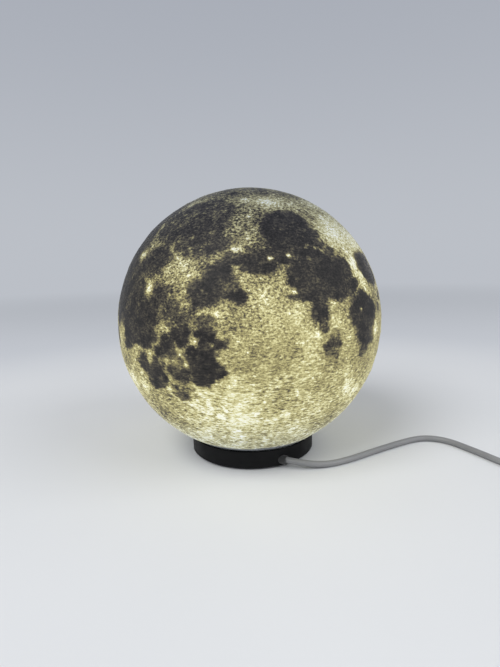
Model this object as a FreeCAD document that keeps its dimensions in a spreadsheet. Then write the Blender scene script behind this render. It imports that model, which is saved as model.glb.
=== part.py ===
import FreeCAD, Part
import math
import os

import Sketcher
from FreeCAD import Placement, Rotation, Vector

# Moon lamp: a hollow printed globe that sits loose in a low round base, lit by a ring of LEDs
# under an opal dome, and fed by a thin lead with an in-line push switch and a coil of spare length.
# Millimetres. +Z is up, the origin is on the table under the globe's centre, the front is -Y.

DOC = FreeCAD.newDocument("moon_lamp")
SHEET = DOC.addObject("Spreadsheet::Sheet", "Sizes")

SIZES = [
    # the globe
    ("globe_radius", 75.0, "outside of the printed globe"),
    ("globe_wall", 2.0, "thickness of the globe's wall"),
    ("globe_rise", 2.3, "height of the whole ball's lowest point above the table"),
    ("neck_radius", 30.0, "hole in the bottom of the globe"),
    ("collar_wall", 2.3, "ring glued into the neck"),
    ("collar_reach", 3.4, "how far the collar's flange lies over the globe's wall"),
    ("collar_flange", 1.1, "thickness of that flange at its rim"),
    ("glue_gap", 0.1, "film of glue round the collar"),
    ("touch_gap", 0.3, "between curved faces that rest on each other"),
    # the base
    ("lip_width", 2.1, "dish between the seat ring's trough and the outside of the black base"),
    ("base_wall", 2.2, "the base's outer wall"),
    ("base_gap", 1.0, "from the table to the wall's lower edge"),
    ("base_bevel", 0.5, "bevel on the wall's edges"),
    ("dish_gap", 0.5, "between the globe and the dish in the base"),
    ("trough_drop", 1.0, "from the globe's neck down to the trough round the spigot"),
    ("trough_plate", 1.2, "thickness of the trough's floor"),
    ("spigot_gap", 0.6, "between the spigot and the collar that drops over it"),
    ("spigot_wall", 2.0, "wall of the spigot"),
    ("spigot_rise", 6.4, "height of the spigot above the trough"),
    ("shelf_drop", 3.6, "from the spigot's top down to the shelf for the light board"),
    ("shelf_plate", 1.4, "thickness of the shelf"),
    ("wire_hole", 3.0, "radius of the hole for the wires in shelf and light board"),
    ("seat_step", 1.5, "from the neck out to the loose ring that the globe rests on"),
    ("seat_width", 2.4, "width of that ring"),
    ("seat_side", 0.3, "its play in the trough"),
    ("seat_play", 0.1, "below it"),
    ("cover_plate", 1.2, "thickness of the bottom cover"),
    ("cover_inset", 0.2, "the cover lies this far inside the wall's lower edge"),
    ("cover_side", 0.3, "between cover and wall"),
    ("foot_radius", 4.0, "rubber feet"),
    ("foot_edge", 7.8, "from the cover's edge in to their middles"),
    ("foot_thick", 1.6, "their thickness"),
    ("cover_screw_edge", 3.7, "from the inside of the wall in to the cover's screws"),
    # screws, shared by every place that takes them
    ("big_shank", 1.0, "shank of the cover's and light board's screws"),
    ("big_head", 1.9, "their heads"),
    ("big_head_thick", 0.9, "height of those heads"),
    ("small_shank", 0.8, "shank of the small screws"),
    ("small_head", 1.5, "their heads"),
    ("small_head_thick", 0.8, "height of those heads"),
    ("thread_gap", 0.05, "between a shank and its pilot hole"),
    ("hole_gap", 0.25, "between a shank or head and the hole it passes"),
    ("boss_wall", 1.4, "wall of a screw boss"),
    # the light
    ("led_board_side", 0.3, "between the light board and the spigot"),
    ("led_board_thick", 1.6, "aluminium light board"),
    ("led_screw_edge", 4.5, "from the inside of the spigot in to its screws"),
    ("led_screw_long", 5.0, "length of those screws"),
    ("led_edge", 11.5, "from the inside of the spigot in to the LEDs"),
    ("led_long", 3.5, "LED, outwards"),
    ("led_wide", 2.8, "LED, across"),
    ("led_thick", 0.8, "LED, height"),
    ("dome_rise", 14.0, "height of the opal dome above its flange"),
    ("dome_wall", 1.5, "its wall"),
    ("dome_flange", 1.2, "thickness of its flange"),
    ("dome_lip", 2.0, "width of the flange outside the dome"),
    ("dome_plug", 1.0, "depth of its rim inside the spigot"),
    ("dome_side", 0.3, "between that rim and the spigot"),
    # the driver board
    ("driver_long", 26.0, "driver board"),
    ("driver_wide", 16.0, "driver board"),
    ("driver_thick", 1.0, "driver board"),
    ("driver_shift", -2.0, "its middle is this far to the left of the lamp's axis"),
    ("driver_stand", 1.2, "height of the bosses under it"),
    ("driver_edge", 2.2, "from its edges to its screws"),
    ("choke_radius", 2.8, "choke on the driver board"),
    ("choke_tall", 2.6, "its height"),
    ("can_radius", 2.2, "smoothing capacitor"),
    ("can_gap", 1.0, "from its top up to the base's shelf"),
    ("chip_long", 4.0, "regulator"),
    ("chip_wide", 3.6, "regulator"),
    ("chip_tall", 1.3, "regulator"),
    ("resistor_long", 2.0, "three resistors"),
    ("resistor_wide", 1.2, "three resistors"),
    ("resistor_tall", 0.6, "three resistors"),
    ("resistor_pitch", 2.1, "their spacing"),
    # wires and lead
    ("wire_radius", 0.55, "single conductors in their sleeves"),
    ("wire_space", 1.6, "between two conductors side by side"),
    ("wire_loop", 3.2, "height of the wires' loop above the light board"),
    ("wire_pad", 6.5, "from the lamp's axis to the wires' pads on the light board"),
    ("wire_run", 6.0, "straight run of a conductor out of the lead"),
    ("wire_drop", 2.4, "straight run of a conductor down on to what it is soldered to"),
    ("lead_radius", 1.75, "the lead"),
    ("lead_height", 4.4, "height of its hole in the base above the table"),
    ("sleeve_wall", 0.55, "rubber sleeve round it"),
    ("sleeve_inside", 3.6, "the sleeve's reach inwards from the wall's outside"),
    ("sleeve_outside", 2.4, "its reach outwards"),
    ("lead_gap", 0.15, "between the lead and a hole it passes"),
    ("coil_pitch", 4.0, "from one turn of the coil to the next, and between its layers"),
    ("coil_outer", 26.0, "radius of the outermost turn's middle"),
    ("coil_rise", 1.0, "height of the coil above the table, on its tie"),
    ("tie_thick", 0.6, "tie round the coil"),
    ("tie_wide", 4.0, "tie, along the lead"),
    # the in-line switch
    ("switch_long", 34.0, "in-line switch"),
    ("switch_wide", 17.0, "in-line switch"),
    ("switch_lower", 5.0, "height of its lower half, up to the lead's middle"),
    ("switch_upper", 5.5, "height of its upper half"),
    ("switch_wall", 1.4, "its wall"),
    ("switch_corner", 5.0, "radius of its corners"),
    ("switch_edge", 1.0, "radius of its outer edges"),
    ("button_radius", 4.2, "its button"),
    ("button_gap", 0.3, "between button and hole"),
    ("button_proud", 1.5, "height of the button above the switch"),
    ("button_travel", 1.2, "how far it goes down"),
    ("button_flange", 1.2, "width and thickness of the flange that keeps it in"),
    ("core_side", 8.0, "latching switch under the button"),
    ("core_tall", 2.6, "its height"),
    ("spring_radius", 2.5, "middle of the button's spring"),
    ("spring_wire", 0.2, "radius of its wire"),
    ("plunger_radius", 1.3, "pin under the button"),
    ("contact_thick", 0.4, "terminals"),
    ("switch_screw_along", 11.0, "from the switch's middle to its screws, along it"),
    ("switch_screw_across", 5.0, "and across it"),
    # the plug
    ("plug_long", 22.0, "moulded grip"),
    ("plug_wide", 15.4, "moulded grip"),
    ("plug_tall", 8.0, "moulded grip"),
    ("plug_corner", 2.6, "radius of its corners"),
    ("relief_long", 9.0, "strain relief behind the grip"),
    ("relief_end", 2.6, "its radius at the lead"),
    ("relief_root", 3.7, "its radius at the grip"),
    ("sleeve_long", 11.8, "metal sleeve, the part that goes in a socket"),
    ("sleeve_wide", 12.0, "metal sleeve"),
    ("sleeve_tall", 4.5, "metal sleeve"),
    ("sleeve_sheet", 0.3, "its sheet"),
    ("latch_wide", 2.2, "latch holes in it, across"),
    ("latch_long", 2.6, "latch holes, along"),
    ("latch_side", 2.9, "from its middle to theirs"),
    ("tongue_thick", 1.9, "plastic tongue inside it"),
    ("tongue_back", 0.6, "the tongue ends this far inside the sleeve's mouth"),
    ("strip_wide", 1.0, "contact strips on the tongue"),
    ("strip_pitch", 2.25, "their spacing"),
    ("strip_thick", 0.15, "their thickness"),
]


class Size:
    """A length that knows its value and the formula that ties it to the sheet."""

    def __init__(self, value, formula):
        self.value = float(value)
        self.formula = formula

    def __add__(self, other):
        other = as_size(other)
        return Size(self.value + other.value, f"({self.formula} + {other.formula})")

    def __sub__(self, other):
        other = as_size(other)
        return Size(self.value - other.value, f"({self.formula} - {other.formula})")

    def __mul__(self, other):
        other = as_size(other)
        return Size(self.value * other.value, f"({self.formula} * {other.formula})")

    def __truediv__(self, other):
        other = as_size(other)
        return Size(self.value / other.value, f"({self.formula} / {other.formula})")

    def __neg__(self):
        return as_size(0) - self

    def __radd__(self, other):
        return as_size(other) + self

    def __rsub__(self, other):
        return as_size(other) - self

    def __rmul__(self, other):
        return as_size(other) * self


def as_size(number):
    return number if isinstance(number, Size) else Size(number, f"({float(number):.9f})")


def root(size):
    return Size(math.sqrt(size.value), f"sqrt({size.formula})")


def fill_sheet():
    for row, (alias, value, meaning) in enumerate(SIZES, start=1):
        SHEET.set(f"A{row}", meaning)
        SHEET.set(f"B{row}", str(value))
        SHEET.setAlias(f"B{row}", alias)
    DOC.recompute()
    return {alias: Size(SHEET.get(alias), f"Sizes.{alias}") for alias, _, _ in SIZES}


S = fill_sheet()
ZERO = as_size(0)

# ---------------------------------------------------------------- heights shared by the pieces

GLOBE_Z = S["globe_radius"] + S["globe_rise"]


def under_ball(radius, out):
    """Height of a ball's lower half round the globe's middle, at a distance out from the axis."""
    return GLOBE_Z - root(radius * radius - out * out)


GLOBE_INSIDE = S["globe_radius"] - S["globe_wall"]
LIP_Z = under_ball(S["globe_radius"], S["neck_radius"])
TROUGH_Z = LIP_Z - S["trough_drop"]
CEILING_Z = TROUGH_Z - S["trough_plate"]
COLLAR_OUT = S["neck_radius"] - S["glue_gap"]
COLLAR_IN = COLLAR_OUT - S["collar_wall"]
SPIGOT_OUT = COLLAR_IN - S["spigot_gap"]
SPIGOT_IN = SPIGOT_OUT - S["spigot_wall"]
SPIGOT_Z = TROUGH_Z + S["spigot_rise"]
SHELF_Z = SPIGOT_Z - S["shelf_drop"]
BOARD_Z = SHELF_Z + S["led_board_thick"]
SEAT_IN = S["neck_radius"] + S["seat_step"]
SEAT_OUT = SEAT_IN + S["seat_width"]
TROUGH_OUT = SEAT_OUT + S["seat_side"]
BASE_OUT = TROUGH_OUT + S["lip_width"]
WALL_IN = BASE_OUT - S["base_wall"]
COVER_Z = S["base_gap"] + S["cover_inset"]
COVER_TOP = COVER_Z + S["cover_plate"]
COVER_OUT = WALL_IN - S["cover_side"]
COVER_SCREWS = WALL_IN - S["cover_screw_edge"]
FEET = COVER_OUT - S["foot_edge"]
LED_SCREWS = SPIGOT_IN - S["led_screw_edge"]
LEDS = SPIGOT_IN - S["led_edge"]
DRIVER_Z = COVER_TOP + S["driver_stand"]
DRIVER_TOP = DRIVER_Z + S["driver_thick"]
SWITCH_TOP = S["switch_lower"] + S["switch_upper"]

# ---------------------------------------------------------------- the lead's route, chosen by hand

LEAD_SIDE = math.radians(-63.5)
LEAD_HEADING = math.radians(-32.0)
EXIT_X = BASE_OUT * math.cos(LEAD_SIDE)
EXIT_Y = BASE_OUT * math.sin(LEAD_SIDE)
LEAD_EXIT = Vector(EXIT_X.value, EXIT_Y.value, 0)
LEAD_WAY = Vector(math.cos(LEAD_HEADING), math.sin(LEAD_HEADING), 0)
LEAD_START = 6.5
FLOOR_Z = S["lead_radius"].value
EXIT_Z = S["lead_height"].value
SWITCH_Z = S["switch_lower"].value

LEAD_ROUTE = [
    LEAD_EXIT - LEAD_WAY * LEAD_START + Vector(0, 0, EXIT_Z),
    LEAD_EXIT + LEAD_WAY * 8.0 + Vector(0, 0, EXIT_Z),
    Vector(38.5, -35.4, FLOOR_Z),
    Vector(53.5, -29.2, FLOOR_Z),
    Vector(69.5, -19.0, FLOOR_Z),
    Vector(85.5, -9.6, FLOOR_Z),
    Vector(100.5, -2.0, FLOOR_Z),
    Vector(110.0, -2.2, FLOOR_Z),
    Vector(118.2, -7.5, FLOOR_Z),
    Vector(124.3, -18.5, FLOOR_Z),
    Vector(130.0, -29.5, FLOOR_Z),
    Vector(134.6, -39.6, FLOOR_Z),
    Vector(142.5, -47.6, FLOOR_Z),
    Vector(153.5, -50.6, FLOOR_Z + 0.2),
    Vector(166.0, -49.5, SWITCH_Z),
    Vector(176.0, -49.5, SWITCH_Z),
]
SWITCH_AT = Vector(188.5, -49.5, 0)
COIL_AT = Vector(202.5, -8.0, 0)
COIL_Z = FLOOR_Z + S["coil_rise"].value
COIL_TOP_Z = COIL_Z + S["coil_pitch"].value
COIL_X = COIL_AT.x + S["coil_outer"].value
COIL_END = 2 * FLOOR_Z
TAIL_ROUTE = [
    Vector(200.5, -49.5, SWITCH_Z),
    Vector(211.0, -49.5, SWITCH_Z),
    Vector(220.0, -44.5, 3.6),
    Vector(226.5, -34.5, COIL_Z),
    Vector(COIL_X, -22.5, COIL_Z),
    Vector(COIL_X, COIL_AT.y - COIL_END, COIL_Z),
]
PLUG_Z = S["plug_tall"].value / 2
PLUG_AT = Vector(COIL_X + 1.5, 28.0, PLUG_Z)
END_ROUTE = [
    Vector(COIL_X, COIL_AT.y + COIL_END, COIL_TOP_Z),
    Vector(COIL_X, 5.5, COIL_TOP_Z),
    Vector(PLUG_AT.x, 18.0, PLUG_Z),
    PLUG_AT,
]
COIL_TURNS = 6
LED_COUNT = 12

# where rings of like pieces begin, in degrees
LEDS_FROM = 15.0
LIGHT_SCREWS_FROM = 30.0
FEET_FROM = 45.0

# ---------------------------------------------------------------- helpers

PARTS = []


def tie(item, path, size):
    item.setExpression(path, as_size(size).formula)


def place(item, x=ZERO, y=ZERO, z=ZERO, rotation=Rotation()):
    values = [as_size(v) for v in (x, y, z)]
    item.Placement = Placement(Vector(*[v.value for v in values]), rotation)
    for letter, size in zip("xyz", values):
        tie(item, f"Placement.Base.{letter}", size)
    return item


def node(item, label):
    item.Label = label
    PARTS.append(item)
    return item


def box(name, long, wide, tall, x=ZERO, y=ZERO, z=ZERO):
    """A box whose bottom face's middle is at x, y, z."""
    item = DOC.addObject("Part::Box", name)
    tie(item, "Length", long)
    tie(item, "Width", wide)
    tie(item, "Height", tall)
    return place(item, as_size(x) - as_size(long) / 2, as_size(y) - as_size(wide) / 2, z)


def cylinder(name, radius, tall, x=ZERO, y=ZERO, z=ZERO, rotation=Rotation()):
    item = DOC.addObject("Part::Cylinder", name)
    tie(item, "Radius", radius)
    tie(item, "Height", tall)
    return place(item, x, y, z, rotation)


def join(name, items):
    item = DOC.addObject("Part::MultiFuse", name)
    item.Shapes = items
    return item


def cut(name, base, tools):
    item = DOC.addObject("Part::Cut", name)
    item.Base = base
    item.Tool = tools[0] if len(tools) == 1 else join(f"{name}_tools", tools)
    return item


def group(name, items):
    """Separate solids kept in one node."""
    item = DOC.addObject("Part::Compound", name)
    item.Links = items
    return item


def origin_plane(body, role):
    return next(f for f in body.Origin.OriginFeatures if f.Role == role)


def outline(body, name, role, corners):
    """A closed sketch of lines and arcs. A corner is (x, y), or (x, y, True) where an arc whose
    middle is on the sketch's upright axis leads to the next corner."""
    sketch = body.newObject("Sketcher::SketchObject", name)
    sketch.AttachmentSupport = [(origin_plane(body, role), "")]
    sketch.MapMode = "FlatFace"
    count = len(corners)
    spots = [Vector(as_size(c[0]).value, as_size(c[1]).value, 0) for c in corners]
    ends = []
    for i in range(count):
        a, b = spots[i], spots[(i + 1) % count]
        if len(corners[i]) > 2:
            ends.append(add_arc(sketch, a, b))
        else:
            sketch.addGeometry(Part.LineSegment(a, b), False)
            ends.append((1, 2))
    for i, corner in enumerate(corners):
        follower = (i + 1) % count
        meet = Sketcher.Constraint("Coincident", i, ends[i][1], follower, ends[follower][0])
        sketch.addConstraint(meet)
        for kind, axis, size in (("DistanceX", -2, corner[0]), ("DistanceY", -1, corner[1])):
            size = as_size(size)
            if abs(size.value) < 1e-9:
                sketch.addConstraint(Sketcher.Constraint("PointOnObject", i, ends[i][0], axis))
                continue
            row = sketch.addConstraint(Sketcher.Constraint(kind, -1, 1, i, ends[i][0], size.value))
            tie(sketch, f"Constraints[{row}]", size)
    return sketch


def add_arc(sketch, a, b):
    """The short arc from a to b round a point on the upright axis; says which end comes first."""
    middle_y = (b.x**2 - a.x**2 + b.y**2 - a.y**2) / (2 * (b.y - a.y))
    middle = Vector(0, middle_y, 0)
    start = math.atan2(a.y - middle_y, a.x)
    stop = math.atan2(b.y - middle_y, b.x)
    swap = stop < start
    if swap:
        start, stop = stop, start
    circle = Part.Circle(middle, Vector(0, 0, 1), (a - middle).Length)
    row = sketch.addGeometry(Part.ArcOfCircle(circle, start, stop), False)
    sketch.addConstraint(Sketcher.Constraint("PointOnObject", row, 3, -2))
    return (2, 1) if swap else (1, 2)


def turned(name, corners):
    """A body turned about Z from its outline in the XZ plane."""
    body = DOC.addObject("PartDesign::Body", name)
    sketch = outline(body, f"{name}_outline", "XZ_Plane", corners)
    revolution = body.newObject("PartDesign::Revolution", f"{name}_revolution")
    revolution.Profile = sketch
    revolution.ReferenceAxis = (sketch, ["V_Axis"])
    revolution.Angle = 360
    body.Tip = revolution
    return body


def plate(name, corners, tall):
    """A body padded upwards from its outline in the XY plane."""
    body = DOC.addObject("PartDesign::Body", name)
    sketch = outline(body, f"{name}_outline", "XY_Plane", corners)
    pad = body.newObject("PartDesign::Pad", f"{name}_pad")
    pad.Profile = sketch
    tie(pad, "Length", tall)
    body.Tip = pad
    return body


def around(count, first, circle):
    """x and y of copies spaced evenly round a circle."""
    for i in range(count):
        angle = math.radians(first + 360.0 * i / count)
        yield circle * math.cos(angle), circle * math.sin(angle)


def screw(name, shank, head, head_thick, long, x, y, z, upwards):
    """A screw whose head's inner face is at z; its shank points up or down."""
    pin = cylinder(f"{name}_shank", shank, long, x, y, z if upwards else z - long)
    cap = cylinder(f"{name}_head", head, head_thick, x, y, z - head_thick if upwards else z)
    return join(name, [pin, cap])


# ---------------------------------------------------------------- tubes


def arc_between(start, corner, end):
    """The arc that leaves start towards corner and reaches end, which is as far from corner."""
    chord_middle = (start + end) * 0.5
    half = (end - start).Length / 2
    angle = math.acos(max(-1.0, min(1.0, half / (corner - start).Length)))
    top = chord_middle + (corner - chord_middle) * (math.tan(angle / 2) / math.tan(angle))
    return Part.Arc(start, top, end).toShape()


def rounded_path(points, label):
    """Straight runs joined by tangent arcs, as large as the two runs allow."""
    edges = []
    radii = []
    last = points[0]
    for before, corner, after in zip(points, points[1:], points[2:]):
        into = corner - before
        out = after - corner
        reach = 0.45 * min(into.Length, out.Length)
        turn = into.getAngle(out)
        radii.append(reach / math.tan(turn / 2))
        start = corner - into.normalize() * reach
        end = corner + out.normalize() * reach
        edges.append(Part.LineSegment(last, start).toShape())
        edges.append(arc_between(start, corner, end))
        last = end
    edges.append(Part.LineSegment(last, points[-1]).toShape())
    print(label, "bend radii", [round(r, 1) for r in radii])
    return Part.Wire(edges)


def biarc(p0, t0, p1, t1):
    """Two arcs from p0 along t0 to p1 along t1."""
    across = p1 - p0
    both = t0 + t1
    share = 2 * (1 - t0.dot(t1))
    along = across.dot(both)
    if share < 1e-9:
        reach = across.dot(across) / (4 * across.dot(t1))
    else:
        reach = (-along + math.sqrt(along**2 + share * across.dot(across))) / share
    first = p0 + t0 * reach
    second = p1 - t1 * reach
    middle = (first + second) * 0.5
    return [arc_between(p0, first, middle), arc_between(middle, second, p1)]


def tube(path, radius, label):
    """A round tube along a path, its volume compared with section times length."""
    start = path.OrderedEdges[0]
    at = start.valueAt(start.FirstParameter)
    along = start.tangentAt(start.FirstParameter)
    ring = Part.Wire([Part.Circle(at, along, radius).toShape()])
    solid = path.makePipeShell([ring], True, False)
    share = solid.Volume / (math.pi * radius**2 * path.Length)
    print(label, "length", round(path.Length, 1), "volume share", round(share, 4))
    return solid


def feature(name, shape, placement=Placement()):
    item = DOC.addObject("Part::Feature", name)
    item.Shape = shape
    item.Placement = placement
    return item


def least_gap(path, radius, apart):
    """The least gap between stretches of a tube that lie more than a length apart along it."""
    count = int(path.Length)
    points = path.discretize(count)
    step = path.Length / (count - 1)
    skip = int(apart / step)
    least = min(
        (points[i] - points[j]).Length
        for i in range(0, count, 2)
        for j in range(i + skip, count)
    )
    return least - 2 * radius


# ---------------------------------------------------------------- the globe


def make_globe():
    outside = DOC.addObject("Part::Sphere", "globe_outside")
    tie(outside, "Radius", S["globe_radius"])
    place(outside, z=GLOBE_Z)
    inside = DOC.addObject("Part::Sphere", "globe_inside")
    tie(inside, "Radius", GLOBE_INSIDE)
    place(inside, z=GLOBE_Z)
    neck = cylinder("globe_neck", S["neck_radius"], GLOBE_Z)
    node(cut("globe_shell", outside, [inside, neck]), "globe_shell")


def make_collar():
    ball = GLOBE_INSIDE - S["touch_gap"]
    rim = S["neck_radius"] + S["collar_reach"]
    rim_z = under_ball(ball, rim)
    corners = [
        (COLLAR_IN, LIP_Z),
        (COLLAR_OUT, LIP_Z),
        (COLLAR_OUT, under_ball(ball, COLLAR_OUT), True),
        (rim, rim_z),
        (rim, rim_z + S["collar_flange"]),
        (COLLAR_IN, rim_z + S["collar_flange"]),
    ]
    node(turned("globe_collar", corners), "globe_collar")


def make_seat_ring():
    ball = S["globe_radius"] + S["touch_gap"]
    low = TROUGH_Z + S["seat_play"]
    corners = [
        (SEAT_IN, low),
        (SEAT_OUT, low),
        (SEAT_OUT, under_ball(ball, SEAT_OUT), True),
        (SEAT_IN, under_ball(ball, SEAT_IN)),
    ]
    node(turned("seat_ring", corners), "seat_ring")


# ---------------------------------------------------------------- the base


def lead_tool(name, radius, back, ahead):
    """A cylinder along the lead where it passes the base's wall."""
    rotation = Rotation(Vector(0, 0, 1), LEAD_WAY)
    x = EXIT_X - LEAD_WAY.x * as_size(back)
    y = EXIT_Y - LEAD_WAY.y * as_size(back)
    return cylinder(name, radius, as_size(back) + as_size(ahead), x, y, S["lead_height"], rotation)


def make_base_shell():
    ball = S["globe_radius"] + S["dish_gap"]
    edge = BASE_OUT - S["base_bevel"]
    lip = under_ball(ball, edge)
    blank = turned(
        "base_blank",
        [
            (edge, S["base_gap"]),
            (BASE_OUT, S["base_gap"] + S["base_bevel"]),
            (BASE_OUT, lip - S["base_bevel"] / 2),
            (edge, lip, True),
            (TROUGH_OUT, under_ball(ball, TROUGH_OUT)),
            (TROUGH_OUT, TROUGH_Z),
            (SPIGOT_OUT, TROUGH_Z),
            (SPIGOT_OUT, SPIGOT_Z),
            (SPIGOT_IN, SPIGOT_Z),
            (SPIGOT_IN, SHELF_Z),
            (S["wire_hole"], SHELF_Z),
            (S["wire_hole"], SHELF_Z - S["shelf_plate"]),
            (SPIGOT_IN, SHELF_Z - S["shelf_plate"]),
            (SPIGOT_IN, CEILING_Z),
            (WALL_IN, CEILING_Z),
            (WALL_IN, S["base_gap"]),
        ],
    )
    boss = S["big_shank"] + S["thread_gap"] + S["boss_wall"]
    pilot = S["big_shank"] + S["thread_gap"]
    solids = [blank]
    holes = []
    for i, (x, y) in enumerate(around(4, 0, COVER_SCREWS)):
        solids.append(cylinder(f"cover_boss_{i}", boss, CEILING_Z - COVER_TOP, x, y, COVER_TOP))
        holes.append(cylinder(f"cover_pilot_{i}", pilot, CEILING_Z - COVER_TOP, x, y, COVER_TOP))
    boss_low = BOARD_Z - S["led_screw_long"]
    for i, (x, y) in enumerate(around(3, LIGHT_SCREWS_FROM, LED_SCREWS)):
        solids.append(cylinder(f"light_boss_{i}", boss, SHELF_Z - boss_low, x, y, boss_low))
        holes.append(cylinder(f"light_pilot_{i}", pilot, SHELF_Z - boss_low, x, y, boss_low))
    sleeve = S["lead_radius"] + S["lead_gap"] + S["sleeve_wall"] + S["thread_gap"]
    holes.append(lead_tool("base_lead_hole", sleeve, S["sleeve_inside"] + S["touch_gap"], 3))
    node(cut("base_shell", join("base_solids", solids), holes), "base_shell")


def make_grommet():
    outside = S["lead_radius"] + S["lead_gap"] + S["sleeve_wall"]
    sleeve = lead_tool("grommet_outside", outside, S["sleeve_inside"], S["sleeve_outside"])
    bore = lead_tool(
        "grommet_bore", S["lead_radius"] + S["lead_gap"], S["sleeve_inside"] + 1, S["sleeve_outside"] + 1
    )
    node(cut("cord_grommet", sleeve, [bore]), "cord_grommet")


def cover_screw_head_z():
    return COVER_Z + S["cover_plate"] / 2


def make_cover():
    disc = cylinder("cover_disc", COVER_OUT, S["cover_plate"], z=COVER_Z)
    solids = [disc]
    tools = []
    hole = S["big_shank"] + S["hole_gap"]
    head = S["big_head"] + S["hole_gap"]
    for i, (x, y) in enumerate(around(4, 0, COVER_SCREWS)):
        tools.append(cylinder(f"cover_hole_{i}", hole, S["cover_plate"], x, y, COVER_Z))
        tools.append(cylinder(f"cover_sink_{i}", head, S["cover_plate"] / 2, x, y, COVER_Z))
    for i, (x, y) in enumerate(around(4, FEET_FROM, FEET)):
        recess = S["foot_thick"] - COVER_Z
        tools.append(cylinder(f"foot_recess_{i}", S["foot_radius"] + S["hole_gap"], recess, x, y, COVER_Z))
    for i, (x, y) in enumerate(driver_screw_places()):
        boss = S["small_shank"] + S["thread_gap"] + S["boss_wall"]
        solids.append(cylinder(f"driver_boss_{i}", boss, DRIVER_Z - COVER_TOP, x, y, COVER_TOP))
        depth = DRIVER_Z - driver_screw_tip()
        pilot = S["small_shank"] + S["thread_gap"]
        tools.append(cylinder(f"driver_pilot_{i}", pilot, depth, x, y, driver_screw_tip()))
    room = S["lead_radius"] + S["lead_gap"] + S["sleeve_wall"] + S["touch_gap"]
    tools.append(lead_tool("cover_sleeve_room", room, S["sleeve_inside"] + 1, 3))
    node(cut("base_cover", join("cover_solids", solids), tools), "base_cover")


def make_cover_screws():
    z = cover_screw_head_z()
    long = CEILING_Z - z - S["hole_gap"]
    screws = [
        screw(f"cover_screw_{i}", S["big_shank"], S["big_head"], S["big_head_thick"], long, x, y, z, True)
        for i, (x, y) in enumerate(around(4, 0, COVER_SCREWS))
    ]
    node(group("cover_screws", screws), "cover_screws")


def make_feet():
    feet = [
        cylinder(f"foot_{i}", S["foot_radius"], S["foot_thick"], x, y)
        for i, (x, y) in enumerate(around(4, FEET_FROM, FEET))
    ]
    node(group("foot_pads", feet), "foot_pads")


# ---------------------------------------------------------------- light board and dome


def make_led_board():
    board = cylinder("led_disc", SPIGOT_IN - S["led_board_side"], S["led_board_thick"], z=SHELF_Z)
    holes = [cylinder("led_wire_hole", S["wire_hole"], S["led_board_thick"], z=SHELF_Z)]
    for i, (x, y) in enumerate(around(3, LIGHT_SCREWS_FROM, LED_SCREWS)):
        radius = S["big_shank"] + S["hole_gap"]
        holes.append(cylinder(f"led_hole_{i}", radius, S["led_board_thick"], x, y, SHELF_Z))
    node(cut("led_board", board, holes), "led_board")


def make_led_screws():
    screws = [
        screw(
            f"led_screw_{i}", S["big_shank"], S["big_head"], S["big_head_thick"],
            S["led_screw_long"], x, y, BOARD_Z, False,
        )
        for i, (x, y) in enumerate(around(3, LIGHT_SCREWS_FROM, LED_SCREWS))
    ]
    node(group("led_board_screws", screws), "led_board_screws")


def make_leds():
    chips = []
    for i, (x, y) in enumerate(around(LED_COUNT, LEDS_FROM, LEDS)):
        turn = LEDS_FROM + 360.0 * i / LED_COUNT
        chip = DOC.addObject("Part::Box", f"led_{i}")
        tie(chip, "Length", S["led_long"])
        tie(chip, "Width", S["led_wide"])
        tie(chip, "Height", S["led_thick"])
        c, s = math.cos(math.radians(turn)), math.sin(math.radians(turn))
        corner_x = x - c * S["led_long"] / 2 + s * S["led_wide"] / 2
        corner_y = y - s * S["led_long"] / 2 - c * S["led_wide"] / 2
        place(chip, corner_x, corner_y, BOARD_Z, Rotation(Vector(0, 0, 1), turn))
        chips.append(chip)
    node(group("led_chips", chips), "led_chips")


def make_diffuser():
    plug_out = SPIGOT_IN - S["dome_side"]
    plug_in = plug_out - S["dome_wall"]
    top = SPIGOT_Z + S["dome_flange"]
    rise = S["dome_rise"]
    ball = (plug_out * plug_out + rise * rise) / (2 * rise)
    middle = top + rise - ball
    inner_ball = ball - S["dome_wall"]
    corners = [
        (ZERO, top + rise, True),
        (plug_out, top),
        (plug_out + S["dome_lip"], top),
        (plug_out + S["dome_lip"], SPIGOT_Z),
        (plug_out, SPIGOT_Z),
        (plug_out, SPIGOT_Z - S["dome_plug"]),
        (plug_in, SPIGOT_Z - S["dome_plug"]),
        (plug_in, middle + root(inner_ball * inner_ball - plug_in * plug_in), True),
        (ZERO, middle + inner_ball),
    ]
    node(turned("light_diffuser", corners), "light_diffuser")


# ---------------------------------------------------------------- driver board


def driver_screw_places():
    x = S["driver_long"] / 2 - S["driver_edge"]
    y = S["driver_wide"] / 2 - S["driver_edge"]
    return [(S["driver_shift"] - x, -y), (S["driver_shift"] + x, y)]


def driver_screw_tip():
    return COVER_TOP - S["cover_plate"] / 2


def make_driver():
    x = S["driver_long"] / 2
    y = S["driver_wide"] / 2
    shift = S["driver_shift"]
    corners = [(shift - x, -y), (shift + x, -y), (shift + x, y), (shift - x, y)]
    board = plate("driver_plate", corners, S["driver_thick"])
    place(board, z=DRIVER_Z)
    holes = [
        cylinder(f"driver_hole_{i}", S["small_shank"] + S["hole_gap"], S["driver_thick"], px, py, DRIVER_Z)
        for i, (px, py) in enumerate(driver_screw_places())
    ]
    node(cut("driver_board", board, holes), "driver_board")
    screws = [
        screw(
            f"driver_screw_{i}", S["small_shank"], S["small_head"], S["small_head_thick"],
            DRIVER_TOP - driver_screw_tip(), px, py, DRIVER_TOP, False,
        )
        for i, (px, py) in enumerate(driver_screw_places())
    ]
    node(group("driver_screws", screws), "driver_screws")


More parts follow.
